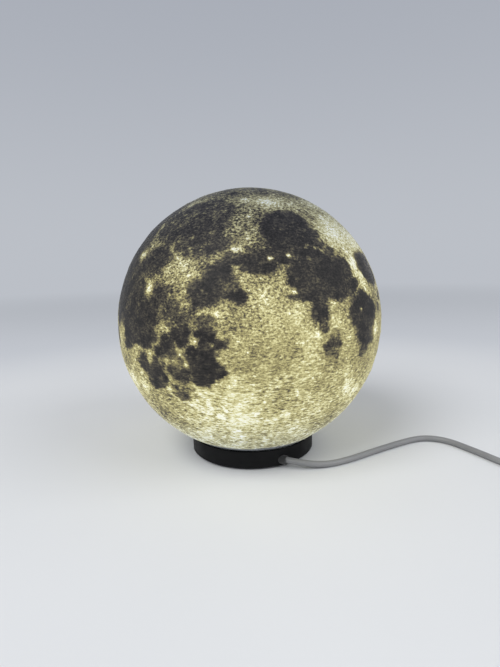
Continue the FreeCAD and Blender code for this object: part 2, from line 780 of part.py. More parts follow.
def make_driver_parts():
    shift = S["driver_shift"]
    left = shift - S["driver_long"] / 4
    right = shift + S["driver_long"] / 4
    back = S["driver_wide"] / 4
    can_tall = SHELF_Z - S["shelf_plate"] - S["can_gap"] - DRIVER_TOP
    parts = [
        cylinder("choke", S["choke_radius"], S["choke_tall"], left - 2, back, DRIVER_TOP),
        cylinder("smoothing_can", S["can_radius"], can_tall, left + 1, -back, DRIVER_TOP),
        box("regulator", S["chip_long"], S["chip_wide"], S["chip_tall"], right, back / 2, DRIVER_TOP),
    ]
    for i in range(3):
        x = left + S["driver_long"] / 5 + S["resistor_pitch"] * i
        y = S["driver_wide"] / 2 - S["resistor_long"]
        size = (S["resistor_wide"], S["resistor_long"], S["resistor_tall"])
        parts.append(box(f"resistor_{i}", *size, x, y, DRIVER_TOP))
    node(group("driver_parts", parts), "driver_parts")


def wire_path_in(side):
    """From the end of the lead, over the driver board's edge and down on to it."""
    across = Vector(-LEAD_WAY.y, LEAD_WAY.x, 0) * (side * S["wire_space"].value / 2)
    start = LEAD_ROUTE[0] + across
    top = DRIVER_TOP.value
    space = S["wire_space"].value
    run = S["wire_run"].value
    drop = Vector(0, 0, S["wire_drop"].value)
    pad = Vector((2 + side) * space, space - S["driver_wide"].value / 2, top)
    return [
        start,
        start - LEAD_WAY * run,
        pad + Vector(space / 2, -run, 0) + drop * 0.5,
        pad + drop,
        pad,
    ]


def wire_path_up(side):
    """From the driver board up through the shelf, and over on to the light board."""
    x = side * S["wire_space"].value * 0.9
    top = BOARD_Z.value + S["wire_loop"].value
    pad = Vector(x * 1.6, S["wire_pad"].value, BOARD_Z.value)
    return [Vector(x, 0, DRIVER_TOP.value), Vector(x, 0, top), Vector(pad.x, pad.y, top), pad]


def make_wires():
    for name, side in (("red_wires", 1), ("black_wires", -1)):
        stretches = [
            tube(rounded_path(points, name), S["wire_radius"].value, name)
            for points in (wire_path_in(side), wire_path_up(side))
        ]
        node(feature(name, Part.Compound(stretches)), name)


# ---------------------------------------------------------------- the lead


def make_lead():
    radius = S["lead_radius"].value
    for name, route in (("cord_lead", LEAD_ROUTE), ("cord_tail", TAIL_ROUTE), ("cord_end", END_ROUTE)):
        node(feature(name, tube(rounded_path(route, name), radius, name)), name)


def coil_point(turns):
    """Where the coil's middle line is after so many turns, and which way it runs there."""
    pitch = S["coil_pitch"].value
    half = COIL_TURNS / 2
    radius = S["coil_outer"].value - pitch * (half - abs(turns - half))
    climb = min(1.0, max(0.0, (turns - (half - 0.25)) / 0.5))
    angle = 2 * math.pi * turns
    out = Vector(math.cos(angle), math.sin(angle), 0)
    on = Vector(-math.sin(angle), math.cos(angle), 0)
    at = COIL_AT + out * radius + Vector(0, 0, COIL_Z + pitch * climb)
    return at, on, climb


def coil_way(turns):
    """Unit tangent of the spiral, steady but for the climb and for its two square ends."""
    if turns <= 0 or turns >= COIL_TURNS:
        return Vector(0, 1, 0)
    step = 0.02
    ahead, _, _ = coil_point(turns + step)
    behind, _, _ = coil_point(turns - step)
    return (ahead - behind).normalize()


def make_coil():
    radius = S["lead_radius"].value
    straight = Vector(0, COIL_END, 0)
    edges = []
    quarters = [i / 4 for i in range(4 * COIL_TURNS + 1)]
    spots = [(coil_point(q)[0], coil_way(q)) for q in quarters]
    edges.append(Part.LineSegment(spots[0][0] - straight, spots[0][0]).toShape())
    for (p0, t0), (p1, t1) in zip(spots, spots[1:]):
        edges += biarc(p0, t0, p1, t1)
    edges.append(Part.LineSegment(spots[-1][0], spots[-1][0] + straight).toShape())
    path = Part.Wire(edges)
    inner = S["coil_outer"].value - S["coil_pitch"].value * COIL_TURNS / 2
    print("coil least gap to itself", round(least_gap(path, radius, math.pi * inner), 2))
    node(feature("cord_coil", tube(path, radius, "cord_coil")), "cord_coil")


def make_coil_tie():
    """A flat band round all the turns, on the coil's left side."""
    pitch = S["coil_pitch"]
    gap = S["coil_rise"] - S["tie_thick"]
    outer = S["coil_outer"] - pitch / 2 + S["lead_radius"] + gap
    inner = S["coil_outer"] - pitch * (COIL_TURNS / 2 - 0.5) - S["lead_radius"] - gap
    middle = (outer + inner) / 2
    wide = outer - inner
    tall = pitch + 2 * S["lead_radius"] + 2 * gap
    x = COIL_AT.x - middle
    band = box(
        "tie_outside", wide + 2 * S["tie_thick"], S["tie_wide"], tall + 2 * S["tie_thick"], x, COIL_AT.y, 0
    )
    room = box("tie_inside", wide, S["tie_wide"] + 2, tall, x, COIL_AT.y, S["tie_thick"])
    node(cut("coil_tie", band, [room]), "coil_tie")


# ---------------------------------------------------------------- the in-line switch


def switch_block(name, shrink, tall, z):
    """The switch's plan shape, a box with round upright corners, smaller all round by shrink."""
    long = S["switch_long"] - 2 * shrink
    wide = S["switch_wide"] - 2 * shrink
    radius = S["switch_corner"] - shrink
    block = box(f"{name}_block", long, wide, tall, z=z)
    DOC.recompute()
    fillet = DOC.addObject("Part::Fillet", name)
    fillet.Base = block
    fillet.Edges = [(i, radius.value, radius.value) for i in upright_edges(block)]
    return fillet


def upright_edges(item):
    rows = []
    for i, edge in enumerate(item.Shape.Edges, start=1):
        a, b = edge.Vertexes[0].Point, edge.Vertexes[-1].Point
        if abs(a.z - b.z) > 1e-6:
            rows.append(i)
    return rows


def level_edges(item, z):
    """Edges that lie wholly at a height."""
    rows = []
    for i, edge in enumerate(item.Shape.Edges, start=1):
        bounds = edge.BoundBox
        if abs(bounds.ZMin - z) < 1e-6 and abs(bounds.ZMax - z) < 1e-6:
            rows.append(i)
    return rows


def round_rim(name, block, z):
    DOC.recompute()
    item = DOC.addObject("Part::Fillet", name)
    item.Base = block
    radius = S["switch_edge"].value
    item.Edges = [(i, radius, radius) for i in level_edges(block, z)]
    return item


def lead_bore(name):
    rotation = Rotation(Vector(0, 0, 1), Vector(1, 0, 0))
    radius = S["lead_radius"] + S["lead_gap"]
    long = S["switch_long"] + 2
    return cylinder(name, radius, long, -long / 2, 0, S["switch_lower"], rotation)


def switch_screw_places():
    x, y = S["switch_screw_along"], S["switch_screw_across"]
    return [(x, y), (-x, -y)]


def make_switch_lower():
    low = switch_block("lower_plan", ZERO, S["switch_lower"], ZERO)
    outside = round_rim("lower_outside", low, 0.0)
    wall = S["switch_wall"]
    room = switch_block("lower_room", wall, S["switch_lower"], wall)
    shell = cut("lower_hollow", outside, [room])
    boss = S["small_shank"] + S["hole_gap"] + S["boss_wall"]
    solids = [shell]
    tools = [lead_bore("lower_bore")]
    for i, (x, y) in enumerate(switch_screw_places()):
        solids.append(cylinder(f"lower_boss_{i}", boss, S["switch_lower"] - wall / 2, x, y, wall / 2))
        hole = S["small_shank"] + S["hole_gap"]
        tools.append(cylinder(f"lower_hole_{i}", hole, S["switch_lower"] + 1, x, y))
        head = S["small_head"] + S["hole_gap"]
        tools.append(cylinder(f"lower_sink_{i}", head, wall, x, y))
    item = node(cut("switch_lower_shell", join("lower_solids", solids), tools), "switch_lower_shell")
    item.Placement.Base = SWITCH_AT


def make_switch_upper():
    block = switch_block("upper_plan", ZERO, S["switch_upper"], S["switch_lower"])
    outside = round_rim("upper_outside", block, SWITCH_TOP.value)
    wall = S["switch_wall"]
    room = switch_block("upper_room", wall, S["switch_upper"] - wall, S["switch_lower"])
    shell = cut("upper_hollow", outside, [room])
    boss = S["small_shank"] + S["thread_gap"] + S["boss_wall"]
    pilot = S["small_shank"] + S["thread_gap"]
    solids = [shell]
    tools = [lead_bore("upper_bore")]
    for i, (x, y) in enumerate(switch_screw_places()):
        tall = S["switch_upper"] - wall / 2
        solids.append(cylinder(f"upper_boss_{i}", boss, tall, x, y, S["switch_lower"]))
        tools.append(cylinder(f"upper_pilot_{i}", pilot, tall - wall, x, y, S["switch_lower"]))
    hole = S["button_radius"] + S["button_gap"]
    tools.append(cylinder("button_hole", hole, S["switch_upper"] + 1, z=S["switch_lower"]))
    item = node(cut("switch_upper_shell", join("upper_solids", solids), tools), "switch_upper_shell")
    item.Placement.Base = SWITCH_AT


def make_switch_screws():
    wall = S["switch_wall"]
    long = S["switch_lower"] + S["switch_upper"] - 3 * wall
    screws = [
        screw(
            f"switch_screw_{i}", S["small_shank"], S["small_head"], S["small_head_thick"],
            long, x, y, wall, True,
        )
        for i, (x, y) in enumerate(switch_screw_places())
    ]
    item = node(group("switch_screws", screws), "switch_screws")
    item.Placement.Base = SWITCH_AT


BUTTON_FLANGE_TOP = SWITCH_TOP - S["switch_wall"] - 0.1
BUTTON_FLANGE_Z = BUTTON_FLANGE_TOP - S["button_flange"]
CORE_TOP = S["switch_wall"] + S["core_tall"]
PLUNGER_Z = CORE_TOP + S["button_travel"] + 0.2


def make_button():
    top = SWITCH_TOP + S["button_proud"]
    radius = S["button_radius"]
    crown = S["button_flange"] / 3
    corners = [
        (ZERO, PLUNGER_Z),
        (S["plunger_radius"], PLUNGER_Z),
        (S["plunger_radius"], BUTTON_FLANGE_Z),
        (radius + S["button_flange"], BUTTON_FLANGE_Z),
        (radius + S["button_flange"], BUTTON_FLANGE_TOP),
        (radius, BUTTON_FLANGE_TOP),
        (radius, top - crown),
        (radius - crown, top),
        (ZERO, top),
    ]
    item = node(turned("switch_button", corners), "switch_button")
    item.Placement.Base = SWITCH_AT


def make_core():
    side = S["core_side"]
    body = box("core_block", side, side, S["core_tall"], z=S["switch_wall"])
    item = node(group("switch_core", [body]), "switch_core")
    item.Placement.Base = SWITCH_AT


def make_contacts():
    tabs = []
    reach = S["core_side"] / 4
    for i, side in enumerate((-1, 1)):
        x = side * (S["core_side"] / 2 + reach / 2)
        tabs.append(box(f"tab_{i}", reach, reach, S["contact_thick"], x, 0, S["switch_wall"]))
    item = node(group("switch_contacts", tabs), "switch_contacts")
    item.Placement.Base = SWITCH_AT


def make_spring():
    """Three and a half turns between the latching switch and the button."""
    wire = S["spring_wire"].value
    radius = S["spring_radius"].value
    low = CORE_TOP.value + wire + 0.05
    high = BUTTON_FLANGE_Z.value - wire - 0.05
    turns = 3.5
    rise = (high - low) / turns
    steps = int(turns * 4)
    edges = []
    spots = []
    for i in range(steps + 1):
        angle = math.pi / 2 * i
        at = Vector(radius * math.cos(angle), radius * math.sin(angle), low + rise * i / 4)
        way = Vector(-math.sin(angle), math.cos(angle), rise / (2 * math.pi * radius)).normalize()
        spots.append((at, way))
    for (p0, t0), (p1, t1) in zip(spots, spots[1:]):
        edges += biarc(p0, t0, p1, t1)
    solid = tube(Part.Wire(edges), wire, "switch_spring")
    node(feature("switch_spring", solid, Placement(SWITCH_AT, Rotation())), "switch_spring")


def make_switch_wires():
    """The red conductor goes through the terminals, the black one passes by."""
    radius = S["wire_radius"].value
    across = Vector(0, S["wire_space"].value / 2, 0)
    ends = (LEAD_ROUTE[-1], TAIL_ROUTE[0])
    tab_top = S["switch_wall"].value + S["contact_thick"].value
    tab_out = S["core_side"].value * 0.625
    drop = S["wire_drop"].value
    red = []
    for end, side in zip(ends, (-1, 1)):
        start = end + across
        tab = SWITCH_AT + Vector(side * tab_out, 0, tab_top)
        points = [start, start - Vector(side * drop, 0, 0), tab + Vector(0, 0, drop), tab]
        red.append(tube(rounded_path(points, "switch_red_wires"), radius, "switch_red_wires"))
    node(feature("switch_red_wires", Part.Compound(red)), "switch_red_wires")
    side = S["core_side"].value
    clear = side / 2 + 2 * radius
    a, b = ends[0] - across, ends[1] - across
    middle = SWITCH_AT + Vector(0, -clear, CORE_TOP.value)
    run = Vector(drop, 0, 0)
    past = Vector(side * 0.6, 0, 0)
    points = [a, a + run, middle - past, middle + past, b - run, b]
    black = tube(rounded_path(points, "switch_black_wire"), radius, "switch_black_wire")
    node(feature("switch_black_wire", black), "switch_black_wire")


# ---------------------------------------------------------------- the plug, along +Y from the lead


def make_plug_body():
    """Round strain relief that tapers to the lead, and the grip with round long edges."""
    towards = Rotation(Vector(0, 0, 1), Vector(0, 1, 0))
    relief = DOC.addObject("Part::Cone", "plug_relief")
    tie(relief, "Radius1", S["relief_end"])
    tie(relief, "Radius2", S["relief_root"])
    tie(relief, "Height", S["relief_long"] + 0.5)
    place(relief, rotation=towards)
    grip = box("plug_block", S["plug_wide"], S["plug_long"], S["plug_tall"],
               0, S["relief_long"] + S["plug_long"] / 2, -S["plug_tall"] / 2)
    DOC.recompute()
    rounded = DOC.addObject("Part::Fillet", "plug_grip")
    rounded.Base = grip
    radius = S["plug_corner"].value
    rounded.Edges = [(i, radius, radius) for i in long_edges(grip)]
    item = node(join("plug_body", [relief, rounded]), "plug_body")
    item.Placement.Base = PLUG_AT


def long_edges(item):
    rows = []
    for i, edge in enumerate(item.Shape.Edges, start=1):
        a, b = edge.Vertexes[0].Point, edge.Vertexes[-1].Point
        if abs(a.y - b.y) > 1e-6:
            rows.append(i)
    return rows


GRIP_END = S["relief_long"] + S["plug_long"]


def make_plug_sleeve():
    sheet = S["sleeve_sheet"]
    outside = box("sleeve_outside_block", S["sleeve_wide"], S["sleeve_long"], S["sleeve_tall"],
                  0, GRIP_END + S["sleeve_long"] / 2, -S["sleeve_tall"] / 2)
    inside = box("sleeve_inside_block", S["sleeve_wide"] - 2 * sheet, S["sleeve_long"],
                 S["sleeve_tall"] - 2 * sheet, 0, GRIP_END + S["sleeve_long"] / 2,
                 sheet - S["sleeve_tall"] / 2)
    latches = []
    for level in (-1, 1):
        for side in (-1, 1):
            x = side * S["latch_side"]
            y = GRIP_END + S["sleeve_long"] / 2
            z = level * S["sleeve_tall"] / 2 - sheet
            size = (S["latch_wide"], S["latch_long"], 2 * sheet)
            latches.append(box(f"latch_{level}_{side}", *size, x, y, z))
    item = node(cut("plug_sleeve", outside, [inside, *latches]), "plug_sleeve")
    item.Placement.Base = PLUG_AT


def make_tongue():
    sheet = S["sleeve_sheet"]
    long = S["sleeve_long"] - S["tongue_back"]
    low = sheet - S["sleeve_tall"] / 2
    tongue = box("tongue_block", S["sleeve_wide"] - 2 * sheet - 0.2, long, S["tongue_thick"],
                 0, GRIP_END + long / 2, low)
    item = node(group("plug_tongue", [tongue]), "plug_tongue")
    item.Placement.Base = PLUG_AT
    strips = [
        box(f"strip_{i}", S["strip_wide"], long - 2, S["strip_thick"],
            S["strip_pitch"] * (i - 1.5), GRIP_END + long / 2, low + S["tongue_thick"])
        for i in range(4)
    ]
    item = node(group("plug_contacts", strips), "plug_contacts")
    item.Placement.Base = PLUG_AT


# ---------------------------------------------------------------- build, check and write


def build():
    for make in (
        make_globe, make_collar, make_seat_ring,
        make_base_shell, make_grommet, make_cover, make_cover_screws, make_feet,
        make_led_board, make_led_screws, make_leds, make_diffuser,
        make_driver, make_driver_parts, make_wires,
        make_lead, make_coil, make_coil_tie,
        make_switch_lower, make_switch_upper, make_switch_screws, make_button,
        make_core, make_contacts, make_spring, make_switch_wires,
        make_plug_body, make_plug_sleeve, make_tongue,
    ):
        make()
    DOC.recompute()


def check():
    for item in DOC.Objects:
        if "Invalid" in item.State or "Error" in item.State:
            raise RuntimeError(f"{item.Name} failed to build: {item.State}")
    for item in PARTS:
        if item.Shape.isNull() or not item.Shape.isValid() or item.Shape.Volume <= 0:
            raise RuntimeError(f"{item.Label} has no valid solid")


def write():
    os.makedirs("parts", exist_ok=True)
    for item in PARTS:
        item.Shape.exportStep(f"parts/{item.Label}.step")
        bounds = item.Shape.BoundBox
        print(
            f"{item.Label:20s} solids {len(item.Shape.Solids):2d} volume {item.Shape.Volume:10.1f}"
            f"  z {bounds.ZMin:7.2f} {bounds.ZMax:7.2f}"
        )


build()
check()
write()
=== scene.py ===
import math

import bmesh
import bpy
import numpy as np
from mathutils import Matrix, Vector


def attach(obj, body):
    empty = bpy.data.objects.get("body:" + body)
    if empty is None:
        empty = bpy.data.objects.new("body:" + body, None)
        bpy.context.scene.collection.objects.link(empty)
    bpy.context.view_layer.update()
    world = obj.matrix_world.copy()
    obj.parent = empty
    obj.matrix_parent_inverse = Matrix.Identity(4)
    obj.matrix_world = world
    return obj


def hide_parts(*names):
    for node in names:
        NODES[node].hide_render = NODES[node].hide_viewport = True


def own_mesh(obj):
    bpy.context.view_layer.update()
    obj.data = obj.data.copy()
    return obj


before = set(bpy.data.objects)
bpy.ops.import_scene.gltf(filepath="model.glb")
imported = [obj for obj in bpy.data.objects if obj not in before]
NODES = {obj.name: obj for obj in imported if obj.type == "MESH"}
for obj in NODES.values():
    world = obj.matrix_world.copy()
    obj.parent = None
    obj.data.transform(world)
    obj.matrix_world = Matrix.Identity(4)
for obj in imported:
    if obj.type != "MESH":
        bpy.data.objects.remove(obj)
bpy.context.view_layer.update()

MM = 0.001


def add_object(name, data):
    item = bpy.data.objects.new(name, data)
    bpy.context.scene.collection.objects.link(item)
    return item


def in_metres(points):
    return [tuple(v * MM for v in p) for p in points]


# ---------------- camera

CAMERA_AT = (0, -0.27366, 0.11464)
CAMERA_LENS = 25.2
CAMERA_FRAME = 36.0
LOOKING_DOWN = 9.39
CAMERA_ROLL = -1.52


def make_camera():
    """Close in front of the lamp, a little above the globe's middle and looking slightly down."""
    data = bpy.data.cameras.new("camera")
    data.lens = CAMERA_LENS
    data.sensor_width = CAMERA_FRAME
    data.clip_start = 0.01
    item = add_object("camera", data)
    tilt = Matrix.Rotation(math.radians(90 - LOOKING_DOWN), 4, "X")
    roll = Matrix.Rotation(math.radians(CAMERA_ROLL), 4, "Z")
    item.matrix_world = Matrix.Translation(CAMERA_AT) @ tilt @ roll
    bpy.context.scene.camera = item
    bpy.context.scene.view_settings.view_transform = "Standard"


# ---------------- node helpers


class Nodes:
    """Short ways to add nodes to a tree."""

    def __init__(self, tree):
        self.tree = tree

    def add(self, kind, inputs=None, **settings):
        node = self.tree.nodes.new(kind)
        for key, value in settings.items():
            setattr(node, key, value)
        for key, value in (inputs or {}).items():
            self.feed(node.inputs[key], value)
        return node

    def feed(self, socket, value):
        if isinstance(value, bpy.types.NodeSocket):
            self.tree.links.new(value, socket)
        else:
            socket.default_value = value

    def math(self, operation, a, b=0.0, clamp=False):
        node = self.add("ShaderNodeMath", operation=operation, use_clamp=clamp)
        self.feed(node.inputs[0], a)
        self.feed(node.inputs[1], b)
        return node.outputs[0]

    def plus(self, a, b, clamp=False):
        return self.math("ADD", a, b, clamp)

    def minus(self, a, b):
        return self.math("SUBTRACT", a, b)

    def times(self, a, b):
        return self.math("MULTIPLY", a, b)

    def gap(self, a, b):
        return self.math("ABSOLUTE", self.minus(a, b))

    def ramp(self, value, stops):
        node = self.add("ShaderNodeValToRGB", {"Fac": value})
        ramp = node.color_ramp
        while len(ramp.elements) < len(stops):
            ramp.elements.new(0.5)
        for element, (position, colour) in zip(ramp.elements, stops):
            element.position = position
            element.color = (*colour, 1.0)
        return node.outputs[0]

    def two_tones(self, value, first, second, low=0.3, high=0.7):
        return self.ramp(value, [(low, first), (high, second)])

    def span(self, value, low, high, out_low=0.0, out_high=1.0):
        """Smooth step of a value from one range to another."""
        node = self.add("ShaderNodeMapRange", {
            "Value": value, "From Min": low, "From Max": high,
            "To Min": out_low, "To Max": out_high,
        }, interpolation_type="SMOOTHSTEP")
        return node.outputs[0]

    def mix(self, share, a, b, blend="MIX"):
        node = self.add("ShaderNodeMix", data_type="RGBA", blend_type=blend)
        self.feed(node.inputs[0], share)
        for socket, value in ((node.inputs[6], a), (node.inputs[7], b)):
            self.feed(socket, value if isinstance(value, bpy.types.NodeSocket) else (*value, 1.0))
        return node.outputs[2]

    def between(self, share, a, b):
        """A number that goes from a to b with the share."""
        return self.mix(share, (a,) * 3, (b,) * 3)


class Finish(Nodes):
    """A material. Positions are the object's own, in metres."""

    def __init__(self, name):
        self.item = bpy.data.materials.new(name)
        self.item.use_nodes = True
        super().__init__(self.item.node_tree)
        self.shader = next(n for n in self.tree.nodes if n.type == "BSDF_PRINCIPLED")
        self.place = self.add("ShaderNodeTexCoord").outputs["Object"]

    def set(self, **values):
        for key, value in values.items():
            self.feed(self.shader.inputs[key.replace("_", " ")], value)

    def vector(self, operation, a, b=(0, 0, 0)):
        return self.add("ShaderNodeVectorMath", {0: a, 1: b}, operation=operation)

    def coordinate(self, axis):
        return self.add("ShaderNodeSeparateXYZ", {"Vector": self.place}).outputs[axis]

    def reach(self, middle=(0, 0, 0)):
        """Distance from an upright line through the middle."""
        away = self.vector("SUBTRACT", self.place, middle)
        flat = self.vector("MULTIPLY", away.outputs[0], (1, 1, 0))
        return self.vector("LENGTH", flat.outputs[0]).outputs["Value"]

    def stretch(self, scale):
        """The position with each axis scaled, for grain that is longer one way."""
        return self.add("ShaderNodeMapping", {"Vector": self.place, "Scale": scale}).outputs[0]

    def noise(self, scale, detail=2.0, rough=0.5, at=None):
        node = self.add("ShaderNodeTexNoise", {
            "Vector": at or self.place, "Scale": scale, "Detail": detail, "Roughness": rough,
        })
        return node.outputs["Fac"]

    def cells(self, scale, output="Distance"):
        node = self.add("ShaderNodeTexVoronoi", {"Vector": self.place, "Scale": scale})
        return node.outputs[output]

    def waves(self, scale, distortion, axis):
        node = self.add("ShaderNodeTexWave", {
            "Vector": self.place, "Scale": scale, "Distortion": distortion,
        }, bands_direction=axis)
        return node.outputs["Fac"]

    def field(self, name):
        """A value that each of the mesh's corners holds."""
        return self.add("ShaderNodeAttribute", attribute_name=name).outputs["Fac"]

    def ripple(self, value, amount):
        """How far a value lies from one half, scaled."""
        return self.times(self.minus(value, 0.5), amount)

    def bump(self, height, depth, strength):
        node = self.add("ShaderNodeBump", {
            "Height": height, "Distance": depth, "Strength": strength,
        })
        self.feed(self.shader.inputs["Normal"], node.outputs[0])


def tint(colour, share):
    return tuple(min(1.0, c * share) for c in colour)


# ---------------- leads
# In millimetres. The points are listed one by one, as in the CAD part, and only a coil is worked
# out.

LEAD_RADIUS = 1.75
ON_TABLE = LEAD_RADIUS
LEAD_ROUTE = [
    (10.7, -29.0, 4.4), (23.0, -36.7, 4.4), (38.5, -35.4, ON_TABLE), (53.5, -29.2, ON_TABLE),
    (69.5, -19.0, ON_TABLE), (85.5, -9.6, ON_TABLE), (100.5, -2.0, ON_TABLE),
    (110.0, -2.2, ON_TABLE), (118.2, -7.5, ON_TABLE), (124.3, -18.5, ON_TABLE),
    (130.0, -29.5, ON_TABLE), (134.6, -39.6, ON_TABLE), (142.5, -47.6, ON_TABLE),
    (153.5, -50.6, ON_TABLE + 0.2), (166.0, -49.5, 5.0), (176.0, -49.5, 5.0),
]
TAIL_ROUTE = [
    (200.5, -49.5, 5.0), (211.0, -49.5, 5.0), (220.0, -44.5, 3.6), (226.5, -34.5, 2.75),
    (228.5, -22.5, 2.75), (228.5, -11.5, 2.75),
]
END_ROUTE = [(228.5, -4.5, 6.75), (228.5, 5.5, 6.75), (230.0, 18.0, 4.0), (230.0, 28.0, 4.0)]
SWITCH_AT = (188.5, -49.5, 5.0)
COIL_AT = (202.5, -8.0)
COIL_RADIUS = 26.0
COIL_TURNS = 6
TURN_PITCH = 4.0
TURN_POINTS = 16
LOWER_LAYER = 2.75
UPPER_LAYER = LOWER_LAYER + TURN_PITCH


def lead_finish(name, colour):
    """Soft matt plastic with a faint grain and finger-dulled patches."""
    f = Finish(name)
    grain = f.noise(1800, 2, 0.6)
    f.set(Base_Color=f.two_tones(f.noise(60, 3, 0.6), tint(colour, 0.88), tint(colour, 1.08)),
          Roughness=f.span(f.noise(240, 3), 0.3, 0.7, 0.42, 0.58),
          Coat_Weight=0.08, Coat_Roughness=0.35)
    f.bump(grain, 0.00006, 0.6)
    return f.item


def spline(name, route, finish):
    data = bpy.data.curves.new(name, "CURVE")
    data.dimensions = "3D"
    data.bevel_depth = LEAD_RADIUS * MM
    data.bevel_resolution = 6
    data.resolution_u = 10
    data.use_fill_caps = True
    line = data.splines.new("NURBS")
    line.points.add(len(route) - 1)
    for point, at in zip(line.points, in_metres(route)):
        point.co = (*at, 1.0)
    line.order_u = 3
    line.use_endpoint_u = True
    data.materials.append(finish)
    return add_object(name, data)


def coil_points():
    """Turns that wind inwards, step up to the upper layer halfway, and wind outwards on top."""
    half = COIL_TURNS / 2
    for i in range(COIL_TURNS * TURN_POINTS + 1):
        turns = i / TURN_POINTS
        radius = COIL_RADIUS - TURN_PITCH * (half - abs(turns - half))
        corner = radius / math.cos(math.pi / TURN_POINTS)
        climb = min(1.0, max(0.0, 2 * (turns - half) + 0.5))
        angle = 2 * math.pi * turns
        yield (COIL_AT[0] + corner * math.cos(angle), COIL_AT[1] + corner * math.sin(angle),
               LOWER_LAYER + (UPPER_LAYER - LOWER_LAYER) * climb)


def make_leads():
    finish = lead_finish("grey_lead", (0.235, 0.238, 0.245))
    lead = spline("lead_to_switch", LEAD_ROUTE, finish)
    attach(lead, "base")
    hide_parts("cord_lead")
    rest = spline("lead_to_plug", TAIL_ROUTE[:-1] + list(coil_points()) + END_ROUTE[1:], finish)
    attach(rest, "base")
    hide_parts("cord_tail", "cord_coil", "cord_end")


# ---------------- floor and light
# In metres.

BACKDROP = (0.50, 0.525, 0.57)
BACKDROP_TOP = (0.39, 0.415, 0.47)
ROOM_LIGHT = (0.391, 0.403, 0.42)
OUTER_FLOOR = (0.62, 0.64, 0.68)
FLOOR_REACH = 14.0


def seen_directly(f):
    """1 where the camera, a reflection or a clear piece looks at it, 0 for the light it gives."""
    path = f.add("ShaderNodeLightPath")
    seen = f.plus(path.outputs["Is Camera Ray"], path.outputs["Is Glossy Ray"])
    return f.plus(seen, path.outputs["Is Transmission Ray"], clamp=True)


def make_stage():
    """A pale floor that takes on the backdrop's colour far from the lamp, on every side."""
    sides = ((-1, -1), (1, -1), (1, 1), (-1, 1))
    corners = [(x * FLOOR_REACH, y * FLOOR_REACH, 0) for x, y in sides]
    mesh = bpy.data.meshes.new("stage")
    mesh.from_pydata(corners, [], [(0, 1, 2, 3)])
    item = add_object("stage", mesh)
    f = Finish("pale_floor")
    out = f.reach()
    pale = f.two_tones(f.noise(3.0, 3, 0.5), (0.68, 0.695, 0.72), (0.73, 0.742, 0.765))
    pale = f.mix(f.span(out, 0.24, 0.46), pale, OUTER_FLOOR)
    far = f.times(f.span(out, 0.42, 1.7), seen_directly(f))
    f.set(Base_Color=f.mix(far, pale, (0, 0, 0)), Roughness=0.75, Specular_IOR_Level=0.0,
          Emission_Color=f.mix(far, (0, 0, 0), BACKDROP), Emission_Strength=1.0)
    f.bump(f.noise(700, 3), 0.00008, 0.4)
    mesh.materials.append(f.item)


def area_light(name, at, aim, size, power):
    data = bpy.data.lights.new(name, "AREA")
    data.shape = "DISK"
    data.size = size
    data.energy = power
    item = add_object(name, data)
    item.location = at
    item.rotation_euler = (Vector(aim) - Vector(at)).to_track_quat("-Z", "Y").to_euler()


def make_lights():
    area_light("key", at=(-0.9, -1.1, 1.5), aim=(0, 0, 0.05), size=1.2, power=26)
    area_light("fill", at=(1.3, -0.7, 1.0), aim=(0.05, 0, 0.05), size=1.4, power=12)


def make_room():
    """Even cool light from all round; looked at directly it is the pale backdrop."""
    world = bpy.data.worlds.new("room")
    world.use_nodes = True
    bpy.context.scene.world = world
    room = Nodes(world.node_tree)
    way = room.add("ShaderNodeTexCoord").outputs["Generated"]
    climb = room.add("ShaderNodeSeparateXYZ", {"Vector": way}).outputs["Z"]
    wall = room.mix(room.span(climb, 0.0, 0.55), BACKDROP, BACKDROP_TOP)
    sky = world.node_tree.nodes["Background"]
    room.feed(sky.inputs["Color"], room.mix(seen_directly(room), ROOM_LIGHT, wall))
    sky.inputs["Strength"].default_value = 1.0
